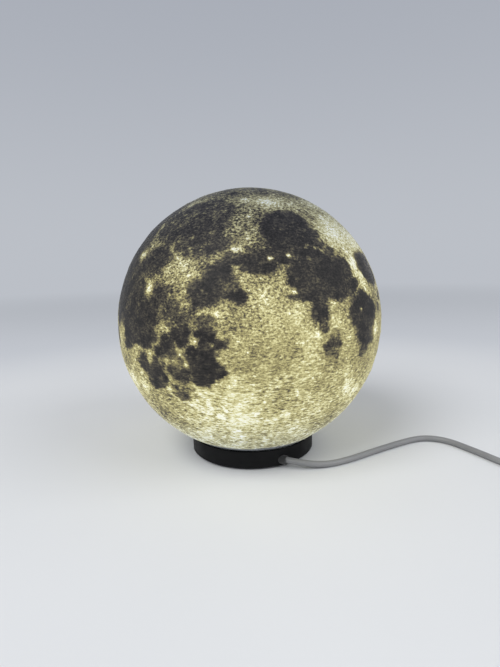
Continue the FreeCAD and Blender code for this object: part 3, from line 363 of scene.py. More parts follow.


# ---------------- the Moon's map
# Places are latitude and longitude on the Moon in degrees, and so are sizes.

# dark plains: latitude, longitude, half width east-west, half width north-south, darkness,
# and a turn where a plain lies askew
PLAINS = [
    # near side, north-west
    (35, -19, 12, 14, 0.65), (28, -24, 10, 8, 0.7), (36, -34, 9, 9, 0.65),
    (21, -10, 7.5, 3.4, 0.82, 12), (26, -12, 5, 5, 0.63), (44, -31, 4, 4, 0.7),
    (14.6, -2.2, 4.6, 2.4, 0.85), (2, -1.6, 3.2, 3, 0.95), (3.2, -6.5, 4, 2.6, 0.95),
    (11.2, -8.8, 5, 4.2, 0.97), (6, -11, 4.6, 5, 0.95), (1.5, -14, 5.4, 3.6, 0.95),
    (3, -29, 6, 6, 0.66), (11.5, -19.5, 7, 6, 0.33), (14, -38, 5.5, 3.2, 0.62),
    (0, -36, 6, 6, 0.86), (18, -57, 15, 14, 0.84), (6, -50, 13, 10, 0.82),
    (32, -58, 11, 10, 0.78, 10), (19, -37, 8, 6, 0.83), (43, -52, 9, 7, 0.72, 30),
    (8, -64, 7, 10, 0.85), (6.4, -17.2, 4.6, 3.8, 0.95), (4.5, -21, 3.6, 3, 0.55),
    (15.2, -8, 5, 2.4, 0.8, 25), (7.5, -3.8, 3.2, 4.2, 0.7), (8, -16, 3, 3, 0.6),
    (6.5, -33, 4.2, 4.4, 0.8), (19, -20, 5, 2.6, 0.7), (58, -25, 9, 1.8, 0.42, 8),
    (59.5, -5, 8, 1.8, 0.38), (44, -6, 5, 2.5, 0.45), (51.6, -9.4, 1.8, 1.8, 0.95),
    # near side, north-east
    (28, 17.4, 10.8, 10.6, 0.85), (24, 27, 5, 5, 0.92, 20), (19, 12.5, 4.6, 3.2, 0.9, -20),
    (10, 29, 12.4, 8.6, 1, -10), (4.8, 23.8, 8, 5, 1), (13, 37.6, 5.4, 5.6, 1, 20),
    (19, 34, 3.6, 3.2, 0.72), (4, 34, 7, 3.4, 1), (6.4, 43.4, 4.6, 3, 0.92, 20),
    (1.5, 43, 3.6, 2.6, 0.8), (17, 22, 5, 3, 0.95), (14.8, 14.2, 5, 3.4, 0.95),
    (8, 19.5, 5, 5, 0.98), (16, 59.5, 10.4, 7.8, 1), (2, 49.5, 5, 3.2, 0.9),
    (13.3, 3.6, 4.8, 3.8, 0.97), (16.5, 8.5, 5, 2.6, 0.92, -10), (11.5, 8.4, 4.2, 2.6, 0.95),
    (19.8, 8.2, 3.4, 2.6, 0.65), (1, 20.5, 5, 2.6, 1), (3.5, 17.6, 2.6, 1.8, 0.75),
    (17.8, 2, 3, 1.8, 0.55), (0, 27.6, 3.5, 3, 0.95), (1.2, 22, 4, 2.6, 0.9),
    (57, 12, 8, 2, 0.42, -6), (53.5, 27, 7, 2, 0.4, -10), (50, 40, 5, 2.4, 0.22, -10),
    (38, 30, 5.5, 4, 0.46), (45, 27, 3, 2.4, 0.36), (36, 9, 2.2, 2.6, 0.4),
    (6.8, 68.4, 3.6, 2.4, 0.7, 30), (1.1, 65.1, 2, 2.4, 0.6), (22.6, 67.7, 1.6, 3, 0.5),
    (53.6, 56.5, 2.2, 2, 0.8), (46.5, 44, 1.5, 1.5, 0.5),
    # near side, south-west
    (-1, -21, 7.5, 6, 0.7), (-4, -47, 9, 8, 0.97), (-9, -40, 6, 5, 0.94), (-10, -52, 5, 4, 0.85),
    (-9.6, -22.8, 5.4, 4.8, 0.95), (-15, -33, 3.6, 4.2, 0.85), (-4.5, -27, 4, 2.6, 0.6),
    (-23, -25, 6, 4.5, 0.86), (-29, -25.5, 3.5, 3, 0.55), (-21, -34, 3.2, 4, 0.66),
    (-18.5, -26.5, 3.2, 4.2, 0.65), (-13, -28.5, 3.4, 4, 0.8), (-19, -44, 5, 5, 0.8),
    (-10.5, -30, 4.5, 4.5, 0.75), (-5.8, -13, 3.8, 2.8, 0.72), (-21.5, -14.8, 6.4, 7.4, 1),
    (-11.5, -12.9, 3.5, 4.6, 0.96), (-14.4, -8.3, 2.8, 2.8, 0.82),
    (-26.2, -16, 5.6, 2.8, 0.95, -10), (-17, -18, 3.9, 3, 0.86), (-23, -9.8, 2.7, 3.4, 0.97),
    (-24.4, -38.8, 6, 6.2, 1), (-18.6, -37, 2.6, 2.6, 0.7), (-32.4, -28, 4.6, 2.2, 0.9, -12),
    (-28.5, -30.5, 2.4, 1.8, 0.75), (-33, -35, 2, 1.2, 0.5), (-5.2, -68.6, 2.8, 3.8, 1, 20),
    (-3, -74.5, 1.4, 1.8, 0.7), (-44.4, -54.6, 2.6, 3.2, 0.45, 30), (-16.7, -66.8, 0.9, 0.9, 0.8),
    (-49.8, -45, 2, 1.5, 0.35),
    # near side, south-east
    (-3.2, 27.4, 4.4, 5.4, 0.92), (-3, 50, 10.2, 7, 0.97, 10), (-9.5, 51.8, 7.4, 6.2, 0.95),
    (-16, 52, 3.4, 4.6, 0.7), (-15.4, 33.8, 4.7, 6.2, 0.68), (-10.6, 34.5, 3, 2.6, 0.45),
    (-8.5, 29, 2.4, 3, 0.75),
    # limb and far side
    (56.8, 81.5, 5, 3, 0.8), (13.3, 86.1, 6, 5, 0.6), (0.5, 89, 5, 6.5, 0.8), (-36, 90, 4, 3, 0.6),
    (-43, 94, 4, 5, 0.6), (-47, 86, 3, 3, 0.5), (-38, 99, 3, 4, 0.6), (-51, 97, 3, 2, 0.5),
    (27.3, 147.9, 5, 4, 0.9), (26, 153, 3, 2, 0.7), (-33.7, 163.5, 3.8, 3.8, 0.85),
    (-36, 158, 2, 2, 0.7), (-20.4, 129.1, 2.6, 2.6, 1), (-19.4, -92.8, 5, 4.6, 0.85),
    (-9, -89, 2.2, 4.5, 0.6, 40), (-15, -82, 1.5, 4.5, 0.5, 30), (-36, -152, 3.4, 3, 0.7),
    (-38, 179, 2.4, 2.4, 0.7), (-44, 176, 2.2, 2.2, 0.6), (-57, 162, 3.4, 2.6, 0.6),
    (-35, 147, 1.8, 1.8, 0.7), (-48, -170, 6, 4, 0.42), (-55, 178, 5, 4, 0.45),
    (-42, -165, 3, 3, 0.45), (55, 104, 1.6, 1.6, 0.7), (12, 130, 2, 1.6, 0.5),
    (-3, 107, 2.2, 2.6, 0.4),
]

# bright young craters and slopes: latitude, longitude, core, halo, strength
BRIGHT_SPOTS = [
    # near side, north-west
    (9.8, -19.6, 1.6, 4.4, 0.66), (12.8, -22, 1.6, 5.6, 0.5), (13.5, -28.5, 1, 3.8, 0.5),
    (8.1, -38, 1.1, 3, 0.95), (31, -3, 1.2, 4.6, 0.55), (0.5, -20.5, 0.8, 3.2, 0.4),
    (23.7, -47.5, 1.2, 3.4, 1.3), (26.7, -13.1, 0.6, 1.2, 0.5), (25.8, -21, 0.6, 1, 0.5),
    (23.3, -29.2, 0.5, 1.8, 0.5), (20.5, -20.6, 0.5, 1.6, 0.6), (14.5, -11.3, 1, 1.2, 0.4),
    (73.4, -10.1, 1.4, 7, 0.8), (8.1, -77.6, 1, 5, 0.8), (19, -3.7, 1.5, 4.2, 0.6),
    (16.5, -8, 1, 3, 0.3), (45.5, -1, 1, 2.6, 0.5), (47, -34, 0.8, 2.2, 0.4),
    (4.5, -27, 0.6, 1.2, 0.5), (4.6, -14.6, 0.4, 1, 0.5),
    # near side, north-east
    (38, 2, 1.2, 4, 0.4), (16.1, 46.8, 0.8, 3.6, 0.9), (16, 16, 0.8, 0.9, 1.5),
    (14.9, 9.1, 0.8, 1, 1.3), (2.8, 17.3, 0.75, 0.9, 1.5), (15.4, 23.7, 0.7, 0.9, 0.6),
    (33.9, 1.2, 1, 2.2, 0.8), (30.7, 1.5, 0.8, 1.2, 0.7), (61.8, 50.3, 1, 4, 0.8),
    (23, 1, 1, 3.2, 0.6), (26.5, 3.5, 0.9, 2.2, 0.5), (18, 37, 0.5, 1.5, 0.4),
    (27.8, 25.3, 0.4, 0.8, 0.5), (24, 31, 0.6, 2, 0.5),
    # near side, south-west
    (-43.3, -11.4, 0.9, 8, 0.22), (-43, -11.6, 1.9, 0.8, 1.3), (-19, -26.5, 1.2, 3.2, 0.5),
    (-16.5, -40, 1, 2.6, 0.5), (-7.4, -29.5, 0.7, 1.8, 0.45), (-4.4, -8.6, 0.7, 2, 0.55),
    (-20.7, -22.3, 1.1, 1.3, 1), (-24.5, -63.7, 0.8, 4.5, 0.9), (-17.6, -40.1, 1.2, 1.4, 0.5),
    (-13, -2, 1, 2.4, 0.5), (-29, -52, 1, 3, 0.5), (-26.3, -50.9, 0.8, 2, 0.5),
    (-3.2, -5.2, 0.7, 1.6, 0.4), (-52, -40, 1, 3, 0.3),
    # near side, south-east
    (-8.9, 61.1, 2.2, 5, 0.7), (-0.4, 32.7, 0.5, 1.2, 1), (-31.8, 51.6, 0.8, 4.5, 0.5),
    (-33.5, 59, 0.8, 3.5, 0.5), (-1.9, 47.6, 0.4, 0.8, 0.8), (-11.4, 26.4, 1.6, 2, 0.5),
    (-41.6, 20, 1, 3, 0.4),
    # limb and far side
    (36, 102.8, 1, 9, 1), (22.4, -163.1, 1.6, 9, 1), (5, 120.5, 1.4, 4, 0.8),
    (18.4, -113.5, 1.4, 7, 0.9), (-10.3, -164.5, 1, 6, 0.9), (-5, 123.1, 1, 5, 0.8),
    (-20.4, 129.1, 0.5, 4, 0.4),
]

# long rays, by their crater's latitude and longitude:
# heading from north, length, half width, strength
RAYS = {
    (-43.3, -11.4): [
        (-60, 42, 1.1, 0.3), (-30, 26, 1, 0.22), (25, 52, 1.2, 0.15), (62, 46, 1.3, 0.14),
        (105, 30, 1.2, 0.12), (165, 26, 1.2, 0.11), (215, 26, 1.2, 0.14), (262, 24, 1, 0.18),
    ],
    (9.6, -20.1): [
        (20, 13, 0.8, 0.3), (-35, 13, 0.8, 0.29), (75, 11, 0.7, 0.24), (150, 13, 0.9, 0.24),
        (205, 15, 0.9, 0.27), (265, 14, 0.8, 0.3),
    ],
    (8.1, -38): [
        (80, 11, 0.7, 0.3), (185, 10, 0.7, 0.3), (-70, 9, 0.7, 0.22), (130, 10, 0.6, 0.24),
    ],
    (23.7, -47.5): [(150, 14, 0.9, 0.26), (110, 10, 0.7, 0.22)],
    (16.1, 46.8): [(60, 12, 0.8, 0.29), (330, 10, 0.8, 0.26), (15, 9, 0.7, 0.26)],
    (16.3, 16): [(25, 16, 0.5, 0.13)],
    (-8.9, 61.1): [(300, 9, 0.8, 0.24), (240, 10, 0.8, 0.22)],
    (73.4, -10.1): [(180, 22, 1, 0.19), (120, 18, 1, 0.17)],
    (36, 102.8): [(200, 26, 1, 0.26), (90, 20, 1, 0.26)],
    (22.4, -163.1): [(150, 24, 1, 0.26), (320, 20, 1, 0.26)],
    (-31.8, 51.6): [(320, 16, 0.9, 0.22)],
    (-24.5, -63.7): [(60, 14, 0.8, 0.22)],
}

# wide changes of tone in the bright highlands: latitude, longitude, half width, half height, change
TONES = [
    (-28, 11, 22, 12, -0.06), (-8, 12, 9, 9, 0.03), (-50, -6, 26, 9, 0.02),
    (-62, 20, 24, 10, 0.02), (33, 51, 17, 15, 0.44), (-42, -48, 22, 12, -0.18),
    (46, -5, 9, 9, -0.12), (43.5, 11, 8, 4, 0.22), (35, -1, 7, 8, -0.22), (-42, -13, 15, 10, 0.12),
    (-43, -11.8, 3.6, 3.4, -0.2), (-47, 44, 16, 10, -0.08), (-20, 59, 12, 11, -0.13),
    (-16, 24, 7, 8, 0.09), (-2, 8, 12, 5, 0.02), (-11, 3.5, 7, 7, -0.15), (-21, -1, 4, 6, -0.1),
    (3, 10, 5, 5, 0.13), (-4, 18, 5, 4, 0.1), (-6.5, 8.5, 4, 3, 0.1), (27, 39, 5, 4, 0.18),
    (45, 4, 8, 4, 0.28), (-36, 22, 12, 5, -0.06), (-12, 17, 8, 5, 0.08), (-26, 6, 7, 5, 0.09),
    (-32.5, -6, 10, 4, 0.12), (-38, 6, 4, 4, 0.11), (-24, 29, 7, 8, 0.07), (12, 48.5, 4, 5, 0.18),
    (6, 52, 4, 5, 0.26), (41, 42, 6, 4, -0.24), (22, 36, 3, 4, 0.12), (-45, 17, 6, 4, -0.08),
    (-33, -35, 5, 4, -0.08), (17, -22, 4, 4, -0.1), (-5, 58, 5, 7, -0.12), (-7, 40, 4, 5, -0.1),
    (-20, -36, 4, 4, -0.08), (49, 6.5, 5, 3, 0.08), (18, 1.5, 4, 3, -0.14), (10, -31, 4, 3, -0.14),
    (9, -16, 4, 3, -0.16), (-17, -58, 6, 7, -0.16), (-36, -70, 16, 12, 0.02),
    (66, 10, 34, 9, -0.08), (30, 55, 12, 9, 0.06), (3, 60, 8, 8, -0.05), (72, -60, 30, 8, -0.06),
    (-53, -169, 34, 32, -0.2), (5, -130, 40, 30, 0.05), (40, 150, 40, 25, 0.04),
    (-5, 150, 24, 18, 0.03), (-19.4, -92.8, 15, 14, -0.06),
]

# large rings that show as relief: latitude, longitude, radius
RINGS = [
    (-58.8, -14.1, 3.7), (-9.3, -1.9, 2.5), (-13.7, -3.2, 2), (-18.3, -1.9, 1.6),
    (-43.3, -11.4, 1.4), (9.6, -20.1, 1.6), (-50.5, -6.3, 2.7), (-33.1, 1, 2.1),
    (-32.7, -5.6, 3.8), (-41.2, 5.8, 2.1), (-41.9, 14, 1.9), (-11.4, 26.4, 1.65), (-13.2, 24, 1.6),
    (-18.1, 23.4, 1.7), (-25.3, 60.4, 3.1), (-8.9, 61.1, 2.2), (-16.3, 61.9, 2.4), (27.7, 56, 2.1),
    (53.6, 56.5, 2), (46.7, 44.4, 1.4), (46.7, 39.1, 1.1), (50.2, 17.4, 1.4), (44.3, 16.3, 1.1),
    (51.6, -9.4, 1.7), (29.7, -4, 1.35), (31.9, 29.9, 1.6), (-17.6, -40.1, 1.8),
    (-44.4, -54.6, 3.6), (-5.2, -68.6, 3.6), (2.2, -67.6, 1.8), (-10.8, -42.5, 2),
    (-49.6, -21.8, 2.4), (-51.8, -39, 2.4), (-5.5, 4.8, 2.2), (-21.5, 4.5, 2.2), (-28.2, 0.6, 1.6),
    (-20.7, -22.3, 1), (14.5, -11.3, 1), (33.9, 1.2, 0.9), (-29.7, 32.2, 1.5), (-26, 1.9, 1.8),
    (-45, 40, 2), (-37, 40, 1.8), (-20.4, 129.1, 3), (5, 120.5, 1.3), (22.4, -163.1, 1.2),
    (-19.4, -92.8, 9.5), (-19.4, -92.8, 14.5), (-36, -152, 8), (27.3, 147.9, 7), (5.7, -162, 7),
    (58, 147, 5), (4, 140, 4.5), (-5, -105, 5), (2, -128, 6), (39, -100, 4),
]


def on_moon(latitude, longitude):
    lat, lon = math.radians(latitude), math.radians(longitude)
    return np.array([math.cos(lat) * math.sin(lon), math.sin(lat), math.cos(lat) * math.cos(lon)])


def local_place(points, latitude, longitude):
    """Degrees east and north of a place on the Moon, along great circles."""
    lat, lon = math.radians(latitude), math.radians(longitude)
    east = np.array([math.cos(lon), 0.0, -math.sin(lon)])
    north = np.array([-math.sin(lat) * math.sin(lon), math.cos(lat),
                      -math.sin(lat) * math.cos(lon)])
    x, y, ahead = points @ east, points @ north, points @ on_moon(latitude, longitude)
    away = np.degrees(np.arctan2(np.hypot(x, y), ahead))
    turn = np.arctan2(y, x)
    return away * np.cos(turn), away * np.sin(turn)


def turned(x, y, degrees):
    """The same places on axes that are turned from x towards y."""
    c, s = math.cos(math.radians(degrees)), math.sin(math.radians(degrees))
    return c * x + s * y, c * y - s * x


def step(value, low, high):
    t = np.clip((value - low) / (high - low), 0.0, 1.0)
    return t * t * (3 - 2 * t)


def swell(points, degrees, seed, waves=28):
    """Smooth noise on the ball, about -1 to 1, with swells about so many degrees across."""
    rng = np.random.default_rng(seed)
    ways = rng.normal(size=(waves, 3))
    ways /= np.linalg.norm(ways, axis=1, keepdims=True)
    rates = 180.0 / degrees * rng.uniform(0.6, 1.4, waves)
    shifts = rng.uniform(0, 2 * math.pi, waves)
    total = np.sin(points @ (ways * rates[:, None]).T + shifts).sum(axis=1)
    return total / math.sqrt(waves / 2) / 2


def shifted(points):
    """Places moved to and fro a little, which gives the ellipses natural coasts."""
    moves = [0.013 * swell(points, 9, seed) + 0.014 * swell(points, 3.6, seed + 10)
             + 0.008 * swell(points, 1.8, seed + 20) for seed in (1, 2, 3)]
    bent = points + np.stack(moves, axis=1)
    return bent / np.linalg.norm(bent, axis=1, keepdims=True)


def plains(bent):
    """How deep in a dark plain each place lies, from 0 to 1."""
    dark = np.zeros(len(bent))
    for lat, lon, wide, tall, depth, *turn in PLAINS:
        x, y = turned(*local_place(bent, lat, lon), turn[0] if turn else 0)
        away = np.hypot(x / wide, y / tall)
        soft = min(0.6, 2.3 / min(wide, tall))
        dark = np.maximum(dark, depth * step(-away, -1 - soft, -1 + soft))
    return dark


def highlands(points):
    """Soft, wide changes of tone."""
    bright = 0.08 * swell(points, 12, 21) + 0.07 * swell(points, 5, 22)
    for lat, lon, wide, tall, change in TONES:
        x, y = local_place(points, lat, lon)
        bright += change * np.exp(-(x / wide) ** 2 - (y / tall) ** 2)
    return bright


def young_craters(points, bent, dark):
    """Bright cores with their halos, and rays, which are weaker over a plain."""
    glow = np.zeros(len(points))
    wander = 1 + 0.45 * swell(points, 4, 31) + 0.3 * swell(points, 1.8, 32)
    for lat, lon, core, halo, strength in BRIGHT_SPOTS:
        away = np.hypot(*local_place(points, lat, lon))
        around = 0.50 * np.exp(-(away / (halo * 0.75)) ** 2) * wander
        middle = 0.9 * np.exp(-(away / (core * 0.8)) ** 2)
        glow = np.maximum(glow, strength * np.maximum(around, middle))
    for (lat, lon), rays in RAYS.items():
        x, y = local_place(bent, lat, lon)
        for heading, length, wide, strength in rays:
            along, across = turned(y, x, heading)
            fade = step(along, 1.5, 5) * (1 - step(along, 0.35 * length, length))
            spread = wide * (1 + along.clip(0) / 40)
            ray = strength * fade * np.exp(-(across / spread) ** 2) * wander
            glow = np.maximum(glow, ray * (1 - 0.6 * dark))
    return glow


SMALL_CRATERS = 420
RELIEF_LIMIT = 0.00035


def relief(points, dark):
    """Ring walls and bowls of the large craters and of a few hundred small ones, in metres."""
    rng = np.random.default_rng(7)
    rings = list(RINGS)
    for _ in range(SMALL_CRATERS):
        lat = math.degrees(math.asin(rng.uniform(-1, 1)))
        rings.append((lat, rng.uniform(-180, 180), 0.9 * rng.pareto(2.2) + 0.7))
    height = 0.00005 * swell(points, 10, 41) + 0.00004 * swell(points, 3, 42)
    height -= 0.00010 * dark
    for lat, lon, radius in rings:
        radius = min(radius, 15.0)
        ahead = points @ on_moon(lat, lon)
        near = ahead > math.cos(math.radians(radius * 1.9))
        away = np.degrees(np.arccos(np.clip(ahead[near], -1, 1))) / radius
        rise = 0.00006 + 0.00003 * min(radius, 4)
        wall = np.exp(-((away - 1) / 0.22) ** 2)
        bowl = step(-away, -1.0, -0.55)
        quiet = 1 - 0.6 * dark[near]
        height[near] += rise * quiet * (wall - 0.8 * bowl)
    return np.clip(height, -RELIEF_LIMIT, RELIEF_LIMIT)


# ---------------- the globe
# In metres.

GLOBE_AT = Vector((0, 0, 0.0773))
GLOBE_RADIUS = 0.075
SHELL_WALL = 0.002
NECK = 0.030
SMOOTH_NECK = 0.036
FULL_RELIEF = 0.042
INNER_ROWS = 40

# how the print sits in the lamp: its north pole leans back, and the near side faces the front
MOON_EAST = np.array([0.9990, -0.0386, -0.0244])
MOON_NORTH = np.array([-0.0160, 0.2430, 0.9699])


def ring_of(radius, z, count):
    turn = np.linspace(0, 2 * math.pi, count, endpoint=False)
    return np.stack([radius * np.cos(turn), radius * np.sin(turn), np.full(count, z)], axis=1)


def wall_places(radius, rows, count):
    """Corners of a ball's wall, from its top down to the neck."""
    neck = math.pi - math.asin(NECK / radius)
    polars = [neck * i / rows for i in range(1, rows + 1)]
    rings = [ring_of(radius * math.sin(p), radius * math.cos(p), count) for p in polars]
    return [np.array([[0, 0, radius]])] + rings


def strip(first, second, count, ratio=1):
    """Faces between two rings, of which the second may have fewer corners."""
    faces = []
    for i in range(count):
        a, b = first + i, first + (i + 1) % count
        c = second + (i // ratio)
        d = second + ((i + 1) // ratio) % (count // ratio)
        faces.append((a, c, b) if c == d else (a, c, d, b))
    return faces


def shell_faces(rows, count, inner_count, inner_start):
    """Faces of the outer wall, round the neck's edge, and back up the inner wall."""
    faces = [(0, 1 + i, 1 + (i + 1) % count) for i in range(count)]
    for r in range(rows - 1):
        faces += strip(1 + r * count, 1 + (r + 1) * count, count)
    faces += strip(1 + (rows - 1) * count, inner_start, count, count // inner_count)
    for r in range(INNER_ROWS - 1):
        start = inner_start + r * inner_count
        faces += strip(start, start + inner_count, inner_count)
    last = inner_start + (INNER_ROWS - 1) * inner_count
    top = last + inner_count
    return faces + [(last + i, top, last + (i + 1) % inner_count) for i in range(inner_count)]


def paint(mesh, name, values):
    layer = mesh.attributes.new(name, "FLOAT", "POINT")
    layer.data.foreach_set("value", values.astype(np.float32))


def make_globe():
    """A printed shell with an inner wall, which carries the Moon's map as values at its corners."""
    rows, count = ((200, 432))
    outer = np.concatenate(wall_places(GLOBE_RADIUS, rows, count))
    inner = np.concatenate(wall_places(GLOBE_RADIUS - SHELL_WALL, INNER_ROWS, count // 4)[::-1])
    ways = outer / GLOBE_RADIUS
    moon_out = np.cross(MOON_EAST, MOON_NORTH)
    points = np.stack([ways @ MOON_EAST, ways @ MOON_NORTH, ways @ moon_out], axis=1)
    bent = shifted(points)
    dark = plains(bent)
    from_axis = np.hypot(outer[:, 0], outer[:, 1])
    rough = np.where(outer[:, 2] < 0, step(from_axis, SMOOTH_NECK, FULL_RELIEF), 1.0)
    shaped = outer * (1 + relief(points, dark) * rough / GLOBE_RADIUS)[:, None]
    mesh = bpy.data.meshes.new("moon_globe")
    faces = shell_faces(rows, count, count // 4, len(outer))
    mesh.from_pydata(np.concatenate([shaped, inner]).tolist(), [], faces)
    mesh.validate()
    mesh.shade_smooth()
    mesh.set_sharp_from_angle(angle=math.radians(35))
    for name, values in (
        ("dark", dark),
        ("bright", highlands(points)),
        ("glow", young_craters(points, bent, dark)),
        ("outside", np.ones(len(outer))),
    ):
        paint(mesh, name, np.concatenate([values, np.zeros(len(inner))]))
    mesh.materials.append(globe_finish())
    item = add_object("moon_globe", mesh)
    item.location = GLOBE_AT
    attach(item, "globe")
    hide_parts("globe_shell")


# the colour of the light through the print, from where the least light comes through to where the
# most does
PRINT_TONES = [
    (0.0, (0.008, 0.008, 0.008)), (0.14, (0.030, 0.027, 0.025)), (0.28, (0.108, 0.095, 0.062)),
    (0.50, (0.36, 0.315, 0.135)), (0.72, (0.70, 0.65, 0.32)), (0.90, (0.92, 0.91, 0.60)),
    (1.0, (1.0, 1.0, 0.84)),
]
COLD_LIGHT = (0.84, 0.92, 1.30)


def print_grain(f, height):
    """Fine grain in the upper half, and coarser grain along the layers in the lower one."""
    low = f.span(height, 0.030, -0.045)
    upper_grain = f.noise(760, 4, 0.75, f.stretch((1, 1, 1.5)))
    lower_grain = f.noise(400, 4, 0.74, f.stretch((1, 1, 3.2)))
    return f.plus(f.times(low, lower_grain), f.times(f.minus(1.0, low), upper_grain))


def print_glow(f, dark, grain):
    """The young craters, and small bright dots, which are weaker on the plains."""
    glow = f.times(f.field("glow"), f.span(grain, 0.32, 0.60, 0.50, 1.20))
    pick = f.math("GREATER_THAN", f.cells(240, "Color"), 0.56)
    dots = f.times(f.span(f.cells(240), 0.16, 0.04, 0.0, 0.36), pick)
    dots = f.plus(dots, f.span(f.noise(230, 3, 0.62), 0.60, 0.72, 0.0, 0.30))
    return f.plus(glow, f.times(dots, f.span(dark, 0.2, 0.9, 1.0, 0.35)))


def print_level(f, height, grain):
    """How much light comes through: little on the plains, more on land, most at young craters, and
    on land more low down than high up.
    """
    dark = f.field("dark")
    coast = f.plus(dark, f.ripple(f.noise(120, 4, 0.65), 0.80))
    coast = f.plus(coast, f.ripple(f.noise(430, 4, 0.7), 1.15))
    mottle = f.noise(150, 4, 0.62)
    depth = f.times(f.span(dark, 0.30, 1.0, 0.73, 1.0), f.span(mottle, 0.40, 0.66, 1.0, 0.86))
    veil = f.times(f.span(coast, 0.18, 0.80), depth)
    plain = f.plus(f.plus(0.090, f.ripple(mottle, 0.26)), f.ripple(grain, 0.66))
    land = f.plus(f.plus(0.485, f.field("bright")), f.ripple(grain, 2.4))
    # Painted light: land brighter low down, nearer the lamp's light, and darker near the top;
    # through the tone it reaches the base colour as well as the glow.
    land = f.plus(land, f.span(height, 0.060, -0.055, -0.12, 0.17))
    level = f.plus(f.times(f.minus(1.0, veil), land), f.times(veil, plain))
    return f.plus(level, print_glow(f, dark, grain), clamp=True)


def globe_finish():
    """Printed plastic lit from inside, whose glow is also copied dimly into its base colour as
    painted light. Heights are from the globe's middle.
    """
    f = Finish("printed_globe")
    height = f.coordinate("Z")
    grain = print_grain(f, height)
    tone = f.ramp(print_level(f, height, grain), PRINT_TONES)
    # Painted light: bluer towards the bottom and the top, where less of the lamp's warm light comes
    # through; the tint reaches the base colour as well as the glow.
    cold_light_share = f.plus(f.span(height, -0.035, -0.066, 0.0, 0.8), f.span(height, 0.025, 0.070, 0.0, 0.9))
    tone = f.mix(1.0, tone, f.mix(cold_light_share, (1, 1, 1), COLD_LIGHT), "MULTIPLY")
    # Painted shade: just above the base the skin turns grey and the glow stops, where the collar
    # keeps the lamp's light off the shell.
    collar_shade = f.times(f.span(f.reach(), 0.0430, 0.0398), f.span(height, 0.0, -0.02))
    unlit = f.two_tones(grain, (0.20, 0.215, 0.235), (0.30, 0.32, 0.345))
    # Painted light: the skin's base colour is a dimmed copy of the glowing map, which the white
    # shell would not show unlit.
    skin = f.mix(collar_shade, f.mix(1.0, tone, (0.42, 0.42, 0.42), "MULTIPLY"), unlit)
    outside = f.field("outside")
    fading = f.span(height, 0.078, 0.005, 0.32, 1.0)
    lit = f.mix(f.times(f.minus(1.0, collar_shade), fading), (0, 0, 0), tone)
    f.set(Base_Color=f.mix(outside, (0.8, 0.79, 0.75), skin), Roughness=0.55,
          Specular_IOR_Level=0.22, Sheen_Weight=0.28, Sheen_Roughness=0.14,
          Emission_Color=f.mix(outside, (1.0, 0.94, 0.74), lit), Emission_Strength=0.62)
    layers = f.waves(260, 0.6, "Z")
    f.bump(f.plus(f.times(grain, 1.2), f.times(layers, 0.12)), 0.00022, 0.8)
    return f.item


# ---------------- plastics, metals and boards
# In metres, with heights from the table.

LED_COUNT = 12
LED_RING = 0.0135
LED_BOARD_FACE = 0.0118
CHIP_FACE = 0.01272
SWITCH_SEAM = 0.005
BLACK_RUBBER = (0.022, 0.022, 0.023)
GREY_PLASTIC = (0.20, 0.203, 0.21)
WHITE_PLASTIC = (0.62, 0.62, 0.60)


def moulded(name, colour, rough, grain=1400, depth=0.00003, shine=0.5, seam=None):
    """Moulded plastic: fine spark-etched grain, faint flow patches, slightly rubbed high spots.

    A seam is the height at which two shells meet, a thin dark line.
    """
    f = Finish(name)
    body = f.two_tones(f.noise(55, 4, 0.55), tint(colour, 0.90), tint(colour, 1.08))
    if seam is not None:
        away = f.gap(f.coordinate("Z"), seam)
        body = f.mix(f.span(away, 0.00020, 0.00008), body, tint(colour, 0.25))
    high_spots = f.add("ShaderNodeNewGeometry").outputs["Pointiness"]
    worn = f.span(high_spots, 0.515, 0.56, 0.0, 0.35)
    f.set(Base_Color=f.mix(worn, body, tint(colour, 1.45)), Specular_IOR_Level=shine,
          Roughness=f.span(f.noise(180, 3), 0.3, 0.7, rough - 0.06, rough + 0.08))
    f.bump(f.noise(grain, 3, 0.6), depth, 0.7)
    return f.item


def rubber(name, colour):
    """Dull rubber with a little dust."""
    f = Finish(name)
    dust = f.noise(120, 3, 0.6)
    f.set(Base_Color=f.two_tones(dust, tint(colour, 0.85), tint(colour, 1.5), 0.35, 0.75),
          Roughness=0.75, Sheen_Weight=0.15, Sheen_Roughness=0.6)
    f.bump(f.noise(900, 4, 0.7), 0.00005, 0.6)
    return f.item


def clear_rubber():
    """Milky soft silicone."""
    f = Finish("clear_rubber")
    f.set(Base_Color=f.two_tones(f.noise(140, 3, 0.6), (0.62, 0.64, 0.64), (0.74, 0.76, 0.75)),
          Roughness=0.38, Subsurface_Weight=0.4, Subsurface_Radius=(0.003, 0.003, 0.003))
    f.bump(f.noise(600, 3), 0.00004, 0.5)
    return f.item


def metal(name, colour, rough, along=(1, 1, 14)):
    """Drawn or turned metal with fine marks and a little tarnish."""
    f = Finish(name)
    marks = f.noise(900, 3, 0.6, f.stretch(along))
    tarnish = f.noise(260, 3, 0.6)
    f.set(Base_Color=f.two_tones(tarnish, tint(colour, 0.82), colour, 0.3, 0.65), Metallic=1.0,
          Roughness=f.span(marks, 0.3, 0.7, rough - 0.08, rough + 0.12))
    f.bump(marks, 0.000012, 0.6)
    return f.item


def opal():
    """Milky dome that glows evenly, a little less at its rim."""
    f = Finish("opal_plastic")
    cloud = f.noise(90, 3, 0.5)
    rim = f.span(f.coordinate("Z"), 0.015, 0.024, 0.35, 1.0)
    lit = f.times(rim, f.span(cloud, 0.2, 0.8, 0.92, 1.0))
    warm = f.mix(lit, (0.30, 0.27, 0.22), (1.0, 0.93, 0.72))
    f.set(Base_Color=f.two_tones(cloud, (0.70, 0.70, 0.68), (0.76, 0.76, 0.74)),
          Roughness=0.34, Emission_Color=warm, Emission_Strength=0.26)
    f.bump(f.noise(1100, 3), 0.00002, 0.5)
    return f.item


